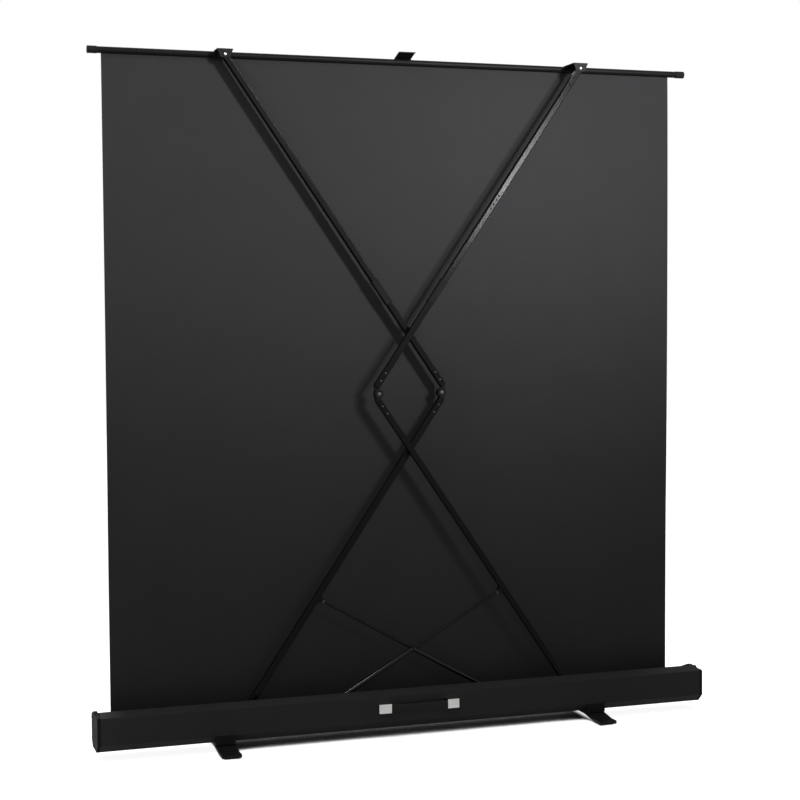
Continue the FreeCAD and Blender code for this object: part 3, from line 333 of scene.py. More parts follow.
@dataclass(frozen=True)
class Finish:
    """What every finish has: a linear colour, and soft clouds that sway its roughness."""

    name: str
    colour: Point
    roughness: float = 0.5
    specular: float = 0.3
    clouds: Point = (9.0, 4.0, 0.5)
    shades: Pair = (0.9, 1.1)
    sway: float = 0.1

    def dress(self, book: NodeBook) -> None:
        """Add the finish's own nodes; each kind has its own way."""

    def clouded(self, book: NodeBook, where: Sock) -> tuple[Sock, Sock]:
        """Colour and roughness that vary in soft clouds.

        Args:
            book: The material's tree.
            where: Coordinates.

        Returns:
            The colour and the roughness.
        """
        cloud = book.noise(where, *self.clouds)
        dark, light = (rgba(self.colour, factor) for factor in self.shades)
        return book.blend(cloud, dark, light), self.roughness + (cloud - 0.5) * self.sway

    def material(self) -> bpy.types.Material:
        """The finish as a material, made once.

        Returns:
            The material.
        """
        found = bpy.data.materials.get(self.name)
        if found is None:
            book = NodeBook(self.name)
            self.dress(book)
            found = book.material
        return found


@dataclass(frozen=True)
class PowderCoat(Finish):
    """Satin powder coat with fine orange peel, faint dust and rubbed patches."""

    roughness: float = 0.42
    shades: Pair = (0.86, 1.16)
    peel: float = 900.0
    depth: float = 0.00005
    speck: float = 420.0
    speck_sway: float = 0.06
    rub_stretch: Point = (14.0, 60.0, 60.0)
    rub_step: Pair = (0.6, 0.78)
    rub_share: float = 0.35
    rub_shade: float = 1.9
    rub_sway: float = 0.05

    def dress(self, book: NodeBook) -> None:
        """Add the coat's nodes.

        Args:
            book: The material's tree.
        """
        where = book.place()
        base, rough = self.clouded(book, where)
        speck = book.noise(where, self.speck, 2.0)
        rubbed = book.ramp(book.noise(book.place(stretch=self.rub_stretch), 1.0, 5.0, 0.6), *self.rub_step)
        base = book.blend(rubbed * self.rub_share, base, rgba(self.colour, self.rub_shade))
        uneven = (speck - 0.5) * self.speck_sway - rubbed * self.rub_sway
        book.paint(Base_Color=base, Specular_IOR_Level=self.specular, Roughness=rough + uneven)
        book.bump(book.noise(where, self.peel, 2.0), self.depth, strength=0.6)


@dataclass(frozen=True)
class Moulding(Finish):
    """Fine-grained moulded plastic or rubber."""

    roughness: float = 0.55
    clouds: Point = (16.0, 3.0, 0.5)
    shades: Pair = (0.84, 1.2)
    sway: float = 0.12
    grain: float = 1600.0
    depth: float = 0.00008

    def dress(self, book: NodeBook) -> None:
        """Add the moulding's nodes.

        Args:
            book: The material's tree.
        """
        where = book.place()
        base, rough = self.clouded(book, where)
        book.paint(Base_Color=base, Specular_IOR_Level=self.specular, Roughness=rough)
        book.bump(book.cells(where, self.grain), self.depth, strength=0.7)


class Lay(Enum):
    """Which way the fine lines of a metal run."""

    ALONG_X = (3.0, 900.0, 900.0)
    NONE = (260.0, 260.0, 260.0)


@dataclass(frozen=True)
class Metal(Finish):
    """Bare or plated metal with drawn or tumbled lines."""

    roughness: float = 0.25
    clouds: Point = (45.0, 4.0, 0.5)
    shades: Pair = (0.82, 1.06)
    sway: float = 0.08
    lay: Lay = Lay.NONE
    lines: float = 0.08
    depth: float = 0.00001

    def dress(self, book: NodeBook) -> None:
        """Add the metal's nodes.

        Args:
            book: The material's tree.
        """
        streak = book.noise(book.place(stretch=self.lay.value), 1.0, 4.0, 0.6)
        base, rough = self.clouded(book, book.place())
        book.paint(Base_Color=base, Metallic=1.0, Roughness=rough + (streak - 0.5) * self.lines)
        book.bump(streak, self.depth, strength=0.5)


@dataclass(frozen=True)
class Cloth(Finish):
    """Coated projection cloth with a fine plain weave; it reads the sheet's own UV, in metres."""

    roughness: float = 0.62
    clouds: Point = (7.0, 5.0, 0.55)
    thread: float = 0.0007
    relief: float = 0.00006
    slub_stretch: Point = (900.0, 30.0, 1.0)
    slub_relief: float = 0.3
    thread_share: float = 0.1
    thread_shade: float = 0.6
    border_colour: Point = (0.008, 0.008, 0.008)
    edges: tuple[float, float, float, float] = (-10.0, 10.0, -10.0, 10.0)

    def dress(self, book: NodeBook) -> None:
        """Add the cloth's nodes.

        Args:
            book: The material's tree.
        """
        flat = book.place("UV")
        across, up = book.axis(flat, "X"), book.axis(flat, "Y")
        turns = 2 * pi / (2 * self.thread)
        weave = ((across * turns).wave() * (up * turns).wave()) * 0.5 + 0.5
        slub = book.noise(book.place("UV", self.slub_stretch), 1.0, 2.0)
        base, rough = self.clouded(book, flat)
        threads = weave * self.thread_share + slub * self.thread_share
        base = book.blend(threads, base, rgba(self.colour, self.thread_shade))
        left, right, low, high = self.edges
        inside = (across > left) * (across < right) * (up > low) * (up < high)
        base = book.blend(1 - inside, base, rgba(self.border_colour))
        book.paint(Base_Color=base, Specular_IOR_Level=self.specular, Roughness=rough)
        book.bump(weave * (1 - self.slub_relief) + slub * self.slub_relief, self.relief, strength=0.5)


CASING_BLACK = PowderCoat("casing_black_satin", (0.032, 0.0314, 0.0324), roughness=0.46, specular=0.05)
MOULDED_BLACK = Moulding("moulded_black_grain", (0.017, 0.017, 0.0178), roughness=0.5, specular=0.01)
ARM_BLACK = PowderCoat("arm_black_satin", (0.005, 0.005, 0.0055), roughness=0.22, specular=0.075,
                       peel=1300.0)
BAR_BLACK = PowderCoat("bar_black_satin", (0.007, 0.007, 0.0076), roughness=0.38, specular=0.06)
PRESSING_BLACK = PowderCoat("pressing_black", (0.0075, 0.0075, 0.008), roughness=0.4, specular=0.07)
FOOT_BLACK = PowderCoat("foot_black_paint", (0.010, 0.010, 0.0105), roughness=0.4, specular=0.12)
PAD_RUBBER = Moulding("pad_rubber", (0.014, 0.014, 0.014), roughness=0.8, specular=0.1, grain=900.0)
STRAP_RUBBER = Moulding("strap_rubber", (0.010, 0.010, 0.0105), roughness=0.42, specular=0.15, grain=1200.0)
WASHER_BLACK = Moulding("washer_black_nylon", (0.006, 0.006, 0.0065), roughness=0.55, specular=0.08)
ZINC = Metal("bright_zinc", (0.56, 0.57, 0.6), roughness=0.3)
DULL_ZINC = Metal("dull_zinc", (0.08, 0.08, 0.084), roughness=0.5)
NICKEL = Metal("bright_nickel", (0.78, 0.77, 0.75), roughness=0.16, lay=Lay.ALONG_X, lines=0.05)
DARK_ROD = Metal("darkened_rod", (0.013, 0.013, 0.0135), roughness=0.28, lay=Lay.ALONG_X, lines=0.04)
MILL_ALUMINIUM = Metal("mill_aluminium", (0.66, 0.67, 0.69), roughness=0.36, lay=Lay.ALONG_X, lines=0.16)
STRUT_BLACK = PowderCoat("strut_gloss_black", (0.005, 0.005, 0.0054), roughness=0.16, specular=0.18,
                         peel=500.0)
REAR_CLOTH = Cloth("cloth_rear_grey", (0.034, 0.034, 0.0355), specular=0.03)
FRONT_CLOTH = Cloth("cloth_front_white", (0.78, 0.78, 0.77), roughness=0.85, specular=0.1,
                    shades=(0.98, 1.02), edges=(-0.882, 0.898, 0.254, 2.036))

SLOT_FINISHES: dict[str, Finish] = {
    "casing_black": CASING_BLACK, "moulded_black": MOULDED_BLACK, "arm_black": ARM_BLACK,
    "bar_black": BAR_BLACK, "foot_steel": FOOT_BLACK, "pad_rubber": PAD_RUBBER, "zinc_steel": ZINC,
    "black_steel": PRESSING_BLACK, "strut_black": STRUT_BLACK, "polished_rod": DARK_ROD,
    "handle_nickel": NICKEL, "handle_rubber": STRAP_RUBBER, "screen_cloth": REAR_CLOTH,
    "alu_plain": MILL_ALUMINIUM,
}


# Mesh tools

def piece(name: str, mesh: Mesh, finishes: Sequence[Finish], crease: float) -> Object:
    """Finished mesh as an object, smooth but for its creases.

    Args:
        name: Name of the piece.
        mesh: Its mesh, in place.
        finishes: The finishes of its material slots.
        crease: Angle in degrees from which an edge is sharp.

    Returns:
        The object.
    """
    mesh.name = name
    mesh.shade_smooth()
    mesh.set_sharp_from_angle(angle=radians(crease))
    of_face = [face.material_index for face in mesh.polygons]
    mesh.materials.clear()
    for finish in finishes:
        mesh.materials.append(finish.material())
    mesh.polygons.foreach_set("material_index", [min(i, len(finishes) - 1) for i in of_face])
    return placed(name, mesh)


def fitted(name: str, shape: Shape, finish: Finish, body: str, crease: float = 40.0) -> Object:
    """Shape as a piece on its body, with doubles merged and faces turned outwards.

    Args:
        name: Name of the piece.
        shape: The shape, used up.
        finish: Its finish.
        body: The body it rides on.
        crease: Angle in degrees from which an edge is sharp.

    Returns:
        The piece.
    """
    bmesh.ops.remove_doubles(shape, verts=shape.verts, dist=MERGE_DISTANCE)
    bmesh.ops.recalc_face_normals(shape, faces=shape.faces)
    mesh = bpy.data.meshes.new("made")
    shape.to_mesh(mesh)
    shape.free()
    made = piece(name, mesh, (finish,), crease)
    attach(made, body)
    return made


def skin(shape: Shape, rings: Sequence[list[bmesh.types.BMVert]]) -> None:
    """Faces between rings that follow each other; a ring may be a single point.

    Args:
        shape: What they are added to.
        rings: The rings.
    """
    for one, two in zip(rings, rings[1:]):
        steps = max(len(one), len(two))
        if steps == 1:
            continue
        for i in range(steps):
            k = (i + 1) % steps
            if len(one) == 1:
                shape.faces.new((one[0], two[k], two[i]))
            elif len(two) == 1:
                shape.faces.new((one[i], one[k], two[0]))
            else:
                shape.faces.new((one[i], one[k], two[k], two[i]))


def lathe(shape: Shape, profile: Outline, origin: Vector, axis: Vector, sides: int = 36) -> None:
    """Turned solid about an axis, added to a shape.

    Args:
        shape: What it is added to.
        profile: (distance along the axis, radius) pairs; ends on the axis close the solid.
        origin: Point on the axis.
        axis: Its direction.
        sides: Steps round it.
    """
    axis = axis.normalized()
    side = axis.orthogonal().normalized()
    other = axis.cross(side)
    turns = [2 * pi * i / sides for i in range(sides)]
    rings = []
    for along, radius in profile:
        centre = origin + axis * along
        if radius < ON_AXIS:
            rings.append([shape.verts.new(centre)])
        else:
            rings.append([shape.verts.new(centre + (side * cos(a) + other * sin(a)) * radius) for a in turns])
    skin(shape, rings)


def slab(shape: Shape, outline: Sequence[Vector], across: Vector, edge: float) -> None:
    """Flat solid with softened rims, added to a shape.

    Args:
        shape: What it is added to.
        outline: Corners of its middle outline.
        across: Half of its thickness, as a vector.
        edge: Width of the softened rim.
    """
    centre = sum(outline, Vector()) / len(outline)
    inner = 1 - edge / max((p - centre).length for p in outline)
    thin = across * (1 - edge / across.length)
    rings = []
    for share, offset in ((inner, -across), (1.0, -thin), (1.0, thin), (inner, across)):
        rings.append([shape.verts.new(centre + (p - centre) * share + offset) for p in outline])
    skin(shape, rings)
    shape.faces.new(rings[0][::-1])
    shape.faces.new(rings[-1])


# Sub-assemblies

@dataclass
class ScreenCloth:
    """The raised cloth: grey behind, white with black borders in front."""

    left: float = 0.924
    right: float = -0.908
    low: Point = (0.0, -0.0553, 0.078)
    high: Point = (0.0, -0.0405, 2.0606)
    thick: float = 0.00045
    columns: int = 72
    rows: int = 90
    curl: float = 0.005
    curl_reach: float = 0.03
    ripple: float = 0.0011
    slack: float = 0.7
    long_wave: Point = (7.1, 0.6, 0.6)
    short_wave: Point = (15.7, 2.0, 0.4)
    hug: float = 0.3
    crowding: float = 0.11

    def depth(self, x: float, share: float) -> float:
        """Y of the cloth's middle.

        Args:
            x: Place across the cloth.
            share: Height from 0 at the roll to 1 at the bar.

        Returns:
            The Y coordinate.
        """
        leaned = share if share > self.hug else share * share / self.hug
        plane = self.low[1] + (self.high[1] - self.low[1]) * leaned
        above = min(1.0, max(0.0, (share - self.hug) / (1 - self.hug)))
        free = abs(sin(pi * above)) ** self.slack
        inset = min(self.left - x, x - self.right)
        rolled = max(0.0, 1 - inset / self.curl_reach) ** 2
        rate, start, size = self.long_wave
        swell = sin(x * rate + start) * size
        rate, lean, size = self.short_wave
        swell += sin(x * rate + share * lean) * size
        return plane + free * (self.curl * rolled + self.ripple * swell)

    def build(self) -> Object:
        """Make the two-sided sheet.

        Returns:
            The cloth, riding on the casing.
        """
        shape = bmesh.new()
        flat = shape.loops.layers.uv.new("UVMap")
        width, height = self.left - self.right, self.high[2] - self.low[2]
        columns, rings = range(self.columns + 1), []
        for j in range(self.rows + 1):
            share = j / self.rows
            ring = []
            for offset, order in ((-self.thick / 2, columns), (self.thick / 2, reversed(columns))):
                for i in order:
                    x = self.right + width * self.spread(i / self.columns)
                    spot = (x, self.depth(x, share) + offset, self.low[2] + height * share)
                    ring.append(shape.verts.new(spot))
            rings.append(ring)
        skin(shape, rings)
        for index, face in enumerate(shape.faces):
            behind = self.columns < index % len(rings[0]) < len(rings[0]) - 1
            face.material_index = 0 if behind else 1
        for ring, way in ((rings[0], -1), (rings[-1], 1)):
            for i in range(self.columns):
                shape.faces.new((ring[i], ring[i + 1], ring[-2 - i], ring[-1 - i])[::way])
        for face in shape.faces:
            for loop in face.loops:
                loop[flat].uv = (loop.vert.co.x, loop.vert.co.z)
        mesh = bpy.data.meshes.new("screen_cloth")
        shape.to_mesh(mesh)
        shape.free()
        made = piece("screen_cloth", mesh, (REAR_CLOTH, FRONT_CLOTH), crease=60.0)
        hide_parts("screen_fabric")
        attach(made, "base")
        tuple(self.low)
        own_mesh(made)
        return made

    def spread(self, share: float) -> float:
        """Places across the cloth, closer together near its two sides."""
        return share - self.crowding * sin(2 * pi * share)


@dataclass
class ClothRoll:
    """The turns of cloth still on the roller."""

    centre: Pair = (-0.0405, 0.078)
    left: float = 0.924
    right: float = -0.908
    inner: float = 0.01302
    outer: float = 0.01412
    turns: int = 2
    thick: float = 0.00045
    steps: int = 40

    def tree(self) -> Tree:
        """Node tree that winds a spiral and gives it width and thickness.

        Returns:
            The tree.
        """
        grow = Growth("wind_cloth", "Inner Radius", "Outer Radius", "Turns", "Width", "Thickness")
        spiral = grow.value("GeometryNodeCurveSpiral", {
            "Resolution": self.steps, "Height": 0.0, "Rotations": grow.given("Turns"),
            "Start Radius": grow.given("Inner Radius"), "End Radius": grow.given("Outer Radius")})
        section = grow.value("GeometryNodeCurvePrimitiveQuadrilateral", {
            "Width": grow.given("Thickness"), "Height": grow.given("Width")})
        feeds = {0: spiral, 1: section, "Fill Caps": True}
        return grow.close(grow.value("GeometryNodeCurveToMesh", feeds))

    def build(self) -> Object:
        """Wind the turns and lay them along the casing.

        Returns:
            The roll of cloth, riding on the roller.
        """
        sizes = {"Inner Radius": self.inner, "Outer Radius": self.outer, "Turns": float(self.turns),
                 "Width": self.left - self.right, "Thickness": self.thick, "Finish": REAR_CLOTH.material()}
        mesh = grown(bpy.data.meshes.new("roll_seed"), self.tree(), sizes)
        y, z = self.centre
        turn = Matrix.Rotation(pi / 2, 4, "Y")
        shift = Matrix.Translation(((self.left + self.right) / 2, y, z))
        mesh.transform(shift @ turn)
        flat = mesh.uv_layers.get("UVMap") or mesh.uv_layers.new(name="UVMap")
        for loop in mesh.loops:
            spot = mesh.vertices[loop.vertex_index].co
            angle = atan2(spot.z - z, spot.y - y)
            flat.data[loop.index].uv = (spot.x, angle * self.outer)
        shape = bmesh.new()
        shape.from_mesh(mesh)
        made = fitted("cloth_roll", shape, REAR_CLOTH, "roller")
        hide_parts("fabric_wraps")
        return made


class Drive(Enum):
    """What is cut into a fastener's head."""

    PLAIN = 0.0
    CROSS = 1.0


class Facing(Enum):
    """Which way heads point; OUTWARDS is away from the middle."""

    REARWARDS = (0.0, 1.0, 0.0)
    OUTWARDS = (1.0, 0.0, 0.0)
    SLANTED = (0.0, -sin(radians(35)), cos(radians(35)))

    def at(self, place: Vector) -> Vector:
        """Direction in which a head at a place points."""
        mirrored = self is Facing.OUTWARDS and place.x <= 0
        return Vector((-1.0, 0.0, 0.0)) if mirrored else Vector(self.value)


@dataclass
class Heads:
    """Domed heads in place of a CAD node of plain ones, black above a height."""

    name: str
    node: str
    body: str
    drive: Drive
    finish: Finish
    facing: Facing
    radius: float = 0.0034
    black_above: float = inf
    height: float = 0.0014
    slot_width: float = 0.0009
    slot_depth: float = 0.0009
    segments: int = 24
    rings: int = 12
    weld: float = 1e-5

    def tree(self) -> Tree:
        """Node tree that puts a domed head on each point, along the point's way.

        Returns:
            The tree.
        """
        names = ("Head Radius", "Head Height", "Slot Width", "Slot Depth")
        grow = Growth("heads_" + self.drive.name.lower(), *names)
        radius, height, width, depth = (grow.given(name) for name in names)
        ball = grow.value("GeometryNodeMeshUVSphere", {
            "Segments": self.segments, "Rings": self.rings, "Radius": 1.0})
        head = grow.value("GeometryNodeTransform", {
            "Geometry": ball, "Scale": grow.vector(radius, radius, height)})
        if self.drive is Drive.CROSS:
            cut = grow.node("GeometryNodeMeshBoolean", {0: head},
                            {"operation": "DIFFERENCE", "solver": "EXACT"})
            for size in (grow.vector(radius, width, depth), grow.vector(width, radius, depth)):
                bar = grow.value("GeometryNodeMeshCube", {"Size": size})
                feeds = {"Geometry": bar, "Translation": grow.vector(0.0, 0.0, height)}
                grow.feed(cut, 1, grow.value("GeometryNodeTransform", feeds))
            head = Sock(grow, cut.outputs[0])
        way = grow.value("GeometryNodeInputNamedAttribute", {"Name": "way"},
                         {"data_type": "FLOAT_VECTOR"}, "Attribute")
        turn = grow.value("FunctionNodeAlignRotationToVector", {"Vector": way}, {"axis": "Z"})
        points = grow.value("GeometryNodeMeshToPoints", {0: grow.given("Geometry")})
        return grow.close(grow.value("GeometryNodeInstanceOnPoints", {
            "Points": points, "Instance": head, "Rotation": turn}))

    def seats(self) -> list[Seat]:
        """Seats of the heads, which are the node's separate solids.

        Returns:
            The middle of each seat with its direction.
        """
        shape = bmesh.new()
        shape.from_mesh(frame["nodes"][self.node].data)
        bmesh.ops.remove_doubles(shape, verts=shape.verts, dist=self.weld)
        left, seats = set(shape.verts), []
        while left:
            seed = left.pop()
            island, edge = {seed}, [seed]
            while edge:
                for link in edge.pop().link_edges:
                    fresh = left.intersection(link.verts)
                    left -= fresh
                    island |= fresh
                    edge += fresh
            middle = sum((v.co for v in island), Vector()) / len(island)
            out = self.facing.at(middle).normalized()
            low = min((v.co - middle).dot(out) for v in island)
            seats.append((middle + out * low, out))
        shape.free()
        return seats

    def build(self) -> Object:
        """Put a domed head on each seat.

        Returns:
            The heads as one piece, riding on their body.
        """
        seats = self.seats()
        seed = bpy.data.meshes.new("seats")
        seed.from_pydata([place for place, _ in seats], [], [])
        ways = seed.attributes.new("way", "FLOAT_VECTOR", "POINT")
        for item, (_, out) in zip(ways.data, seats):
            item.vector = out
        sizes = {"Head Radius": self.radius, "Head Height": self.height, "Slot Width": self.slot_width,
                 "Slot Depth": self.slot_depth * 2, "Finish": self.finish.material()}
        mesh = grown(seed, self.tree(), sizes)
        for face in mesh.polygons:
            face.material_index = int(face.center.z > self.black_above)
        finishes = (self.finish,) if isinf(self.black_above) else (self.finish, PRESSING_BLACK)
        made = piece(self.name, mesh, finishes, crease=34.0)
        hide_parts(self.node)
        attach(made, self.body)
        return made


def fastenings() -> list[Heads]:
    """Heads of every body that has them; on the upper arms, those above the knees are black.

    Returns:
        The sets of heads.
    """
    sets = []
    for side in ("rear", "front"):
        lower, upper = side + "_lower", side + "_upper"
        sets.append(Heads(lower + "_rivet_heads", lower + "_rivets", lower, Drive.PLAIN, DULL_ZINC,
                          Facing.REARWARDS, radius=0.0027))
        sets.append(Heads(upper + "_rivet_heads", upper + "_fixings", upper, Drive.CROSS, DULL_ZINC,
                          Facing.REARWARDS, radius=0.003, black_above=1.2))
    sets.append(Heads("casing_screw_heads", "casing_screws", "base", Drive.CROSS, DULL_ZINC, Facing.OUTWARDS))
    sets.append(Heads("bar_screw_heads", "bar_screws", "bar", Drive.CROSS, ZINC, Facing.SLANTED))
    return sets


@dataclass
class PivotHeads:
    """Riveted ends of the knee and bar pins, the knees' with a black washer under the head."""

    knee_head: float = 0.0062
    bar_head: float = 0.0045
    head_height: float = 0.0013
    washer_thick: float = 0.0013
    washer: Outline = ((0.0, 0.0), (0.0, 0.0135), (0.00078, 0.0135), (0.0013, 0.0129), (0.0013, 0.0))
    proud: float = 0.0015
    dome: Outline = ((0.0, 0.0), (0.0, 1.0), (0.45, 1.0), (0.72, 0.88), (0.92, 0.6), (1.0, 0.25), (0.98, 0.0))

    def build(self) -> list[Object]:
        """Turn a head on both ends of each pin, and the knees' washers.

        Returns:
            The pieces, one for each body and finish.
        """
        made = []
        for side in ("rear", "front"):
            body = side + "_lower"
            seats = self.seats([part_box(side + "_knee_pin")])
            raised = [(place + out * self.washer_thick, out) for place, out in seats]
            heads = self.turned(raised, self.domed(self.knee_head))
            made.append(fitted(side + "_knee_heads", heads, DULL_ZINC, body))
            washers = self.turned(seats, self.washer)
            made.append(fitted(side + "_knee_washers", washers, WASHER_BLACK, body))
        pins, spans = frame["nodes"]["bar_pins"].data.vertices, []
        for way in (1, -1):
            ends = [v.co for v in pins if v.co.x * way > 0]
            spans.append(tuple(Vector([pick(line) for line in zip(*ends)]) for pick in (min, max)))
        heads = self.turned(self.seats(spans), self.domed(self.bar_head))
        made.append(fitted("bar_pin_heads", heads, ZINC, "bar"))
        return made

    def seats(self, spans: Iterable[tuple[Vector, Vector]]) -> list[Seat]:
        """Where heads sit on pins that lie along Y.

        Args:
            spans: Lowest and highest corner of each pin.

        Returns:
            The middle of each seat with the way its head points.
        """
        found = []
        for low, high in spans:
            for end, way in ((high.y, 1), (low.y, -1)):
                middle = Vector(((low.x + high.x) / 2, end - way * self.proud, (low.z + high.z) / 2))
                found.append((middle, Vector((0, way, 0))))
        return found

    def domed(self, radius: float) -> Outline:
        """Profile of a low rolled head."""
        rise = self.proud + self.head_height
        return [(rise * along, radius * share) for along, share in self.dome]

    @staticmethod
    def turned(seats: Sequence[Seat], profile: Outline) -> Shape:
        """The same turned shape on several seats.

        Args:
            seats: Places and ways.
            profile: Profile of the shape.

        Returns:
            The shape.
        """
        shape = bmesh.new()
        for place, out in seats:
            lathe(shape, profile, place, out)
        return shape


@dataclass
class CarryHandle:
    """Flexible strap that bows out between its two nickel caps."""

    half: float = 0.116
    middle: Pair = (0.079, 0.0946)
    bow: float = 0.007
    width: float = 0.0232
    thick: float = 0.004
    corner: float = 0.0013
    corner_steps: int = 3
    waist: float = 0.1
    waist_reach: float = 0.8
    steps: int = 48

    def build(self) -> Object:
        """Sweep a rounded section along the bow.

        Returns:
            The strap, riding on the casing.
        """
        section = []
        for sy, sz in ((1, 1), (-1, 1), (-1, -1), (1, -1)):
            for turn in range(self.corner_steps + 1):
                angle = atan2(sz, sy) - pi / 4 + pi / (2 * self.corner_steps) * turn
                section.append((sy * (self.thick / 2 - self.corner) + self.corner * cos(angle),
                                sz * (self.width / 2 - self.corner) + self.corner * sin(angle)))
        shape = bmesh.new()
        rings = []
        for i in range(self.steps + 1):
            share = -1 + 2 * i / self.steps
            y = self.middle[0] + self.bow * (1 - share * share)
            waist = 1 - self.waist * max(0.0, 1 - (share / self.waist_reach) ** 4)
            rings.append([shape.verts.new((share * self.half, y + a, self.middle[1] + b * waist))
                          for a, b in section])
        skin(shape, rings)
        shape.faces.new(rings[0])
        shape.faces.new(rings[-1])
        made = fitted("carry_strap", shape, STRAP_RUBBER, "base", crease=50.0)
        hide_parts("handle_strap")
        return made


@dataclass
class GasStrut:
    """One gas strut: a rolled pressure tube with its gland, a dark rod and two flat eyes.

    Profiles are (distance, share of the radius) pairs.
    """

    side: str
    layer: float
    turned: float
    foot: Pair = (0.39, 0.0372)
    angle: float = radians(29.798)
    length: float = 0.779724
    tube_start: float = 0.015
    tube_end: float = 0.45
    tube_radius: float = 0.0075
    rod_start: float = 0.33
    rod_radius: float = 0.004
    eye_radius: float = 0.0056
    eye_half: float = 0.005
    eye_neck: float = 0.0042
    eye_rim: float = 0.0007
    eye_sweep: float = 125.0
    eye_steps: int = 18
    tube_neck: float = 0.001
    rod_neck: float = 0.011
    rod_short: float = 0.012
    crease: float = 38.0
    end: Outline = ((-0.002, 0.0), (-0.002, 0.5), (-0.0006, 0.8), (0.0012, 0.96), (0.003, 1.0))
    gland: Outline = ((-0.0165, 1.0), (-0.016, 0.93), (-0.0145, 0.93), (-0.014, 1.0), (-0.003, 1.0),
                      (-0.0009, 0.94), (0.0, 0.8))
    mouth: Outline = ((0.0, 1.12), (-0.004, 1.12), (-0.004, 0.0))
    tip: Outline = ((0.0, 1.0), (0.0, 1.25), (0.004, 1.25), (0.006, 0.9), (0.006, 0.0))

    def axis(self) -> Vector:
        """Direction from the lower pin to the upper one."""
        return Vector((self.turned * cos(self.angle), 0, sin(self.angle)))

    def eye(self, shape: Shape, centre: Vector, neck: Vector) -> None:
        """Flat eye with a neck towards the tube or rod.

        Args:
            shape: What it is added to.
            centre: Middle of the eye.
            neck: From the middle to the end of the neck.
        """
        out, up = -neck.normalized(), Vector((0, 1, 0)).cross(neck).normalized()
        outline = [centre + neck - up * self.eye_neck]
        for i in range(self.eye_steps + 1):
            turn = radians(2 * self.eye_sweep) * i / self.eye_steps - radians(self.eye_sweep)
            outline.append(centre + (out * cos(turn) + up * sin(turn)) * self.eye_radius)
        outline.append(centre + neck + up * self.eye_neck)
        slab(shape, outline, Vector((0, self.eye_half, 0)), self.eye_rim)

    @staticmethod
    def scaled(start: float, radius: float, profile: Outline) -> Outline:
        """Profile moved along the axis and scaled to a radius."""
        return [(start + along, radius * share) for along, share in profile]

    def build(self) -> list[Object]:
        """Turn the tube and the rod and give each its eye.

        Returns:
            The tube, the rod and the rod's eye.
        """
        axis, base = self.axis(), Vector((-self.turned * self.foot[0], self.layer, self.foot[1]))
        radius, rod = self.tube_radius, self.rod_radius
        side, piston = self.side, self.side + "_strut_piston"
        tube = bmesh.new()
        lathe(tube, (*self.scaled(self.tube_start, radius, self.end),
                     *self.scaled(self.tube_end, radius, self.gland),
                     *self.scaled(self.tube_end, rod, self.mouth)), base, axis, sides=40)
        self.eye(tube, base, axis * (self.tube_start + self.tube_neck))
        tube_piece = fitted(side + "_strut_pressure_tube", tube, STRUT_BLACK,
                            side + "_strut_tube", self.crease)
        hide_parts(side + "_strut_cylinder")
        shaft = bmesh.new()
        lathe(shaft, ((self.rod_start, 0), (self.rod_start, rod),
                      *self.scaled(self.length - self.rod_short, rod, self.tip)), base, axis, sides=32)
        rod_piece = fitted(side + "_strut_bright_rod", shaft, DARK_ROD, piston, self.crease)
        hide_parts(side + "_strut_rod")
        end = bmesh.new()
        self.eye(end, base + axis * self.length, axis * -self.rod_neck)
        eye = fitted(side + "_strut_rod_eye", end, DULL_ZINC, piston, self.crease)
        return [tube_piece, rod_piece, eye]


class Dresser:
    """Gives every CAD node that still shows the finish of its material slot."""

    def __init__(self, record: dict) -> None:
        """Read which slot each node takes its finish from."""
        self.slots = {part["node"]: part["material_slot"] for part in record["subparts"]}

    def build(self) -> int:
        """Assign the finishes.

        Returns:
            How many nodes were dressed.
        """
        for name, node in frame["nodes"].items():
            finish = SLOT_FINISHES[self.slots[name]].material()
            for holder in node.material_slots:
                holder.link = "OBJECT"
                holder.material = finish
        return len(frame["nodes"])


@dataclass(frozen=True)
class Lamp:
    """What every lamp has: its name, its place, the point it faces and its watts."""

    name: str
    at: Point
    aim: Point
    power: float

    def stand(self, kind: str) -> Object:
        """Light of a kind in its place, facing its aim.

        Args:
            kind: Type of the light.

        Returns:
            The lamp.
        """
        data = bpy.data.lights.new(self.name, kind)
        data.energy = self.power
        made = placed(self.name, data)
        made.location = self.at
        made.rotation_euler = (Vector(self.aim) - Vector(self.at)).to_track_quat("-Z", "Y").to_euler()
        return made


@dataclass(frozen=True)
class SoftBox(Lamp):
    """Soft box behind a grid: its width and height, and the angle in degrees that its light fills."""

    size: Pair
    spread: float

    def build(self) -> None:
        """Set the box up."""
        data = self.stand("AREA").data
        data.shape = "RECTANGLE"
        data.size, data.size_y = self.size
        data.spread = radians(self.spread)


@dataclass(frozen=True)
class Spot(Lamp):
    """Spot with a soft edge: its half angles across and upright in degrees, and its radius."""

    cone: Pair
    radius: float

    def build(self) -> None:
        """Set the spot up, squeezed to its two angles."""
        made = self.stand("SPOT")
        across, upright = (radians(angle) for angle in self.cone)
        made.data.shadow_soft_size = self.radius
        made.data.spot_size = 2 * across
        made.data.spot_blend = 1.0
        made.scale = (1.0, tan(upright) / tan(across), 1.0)


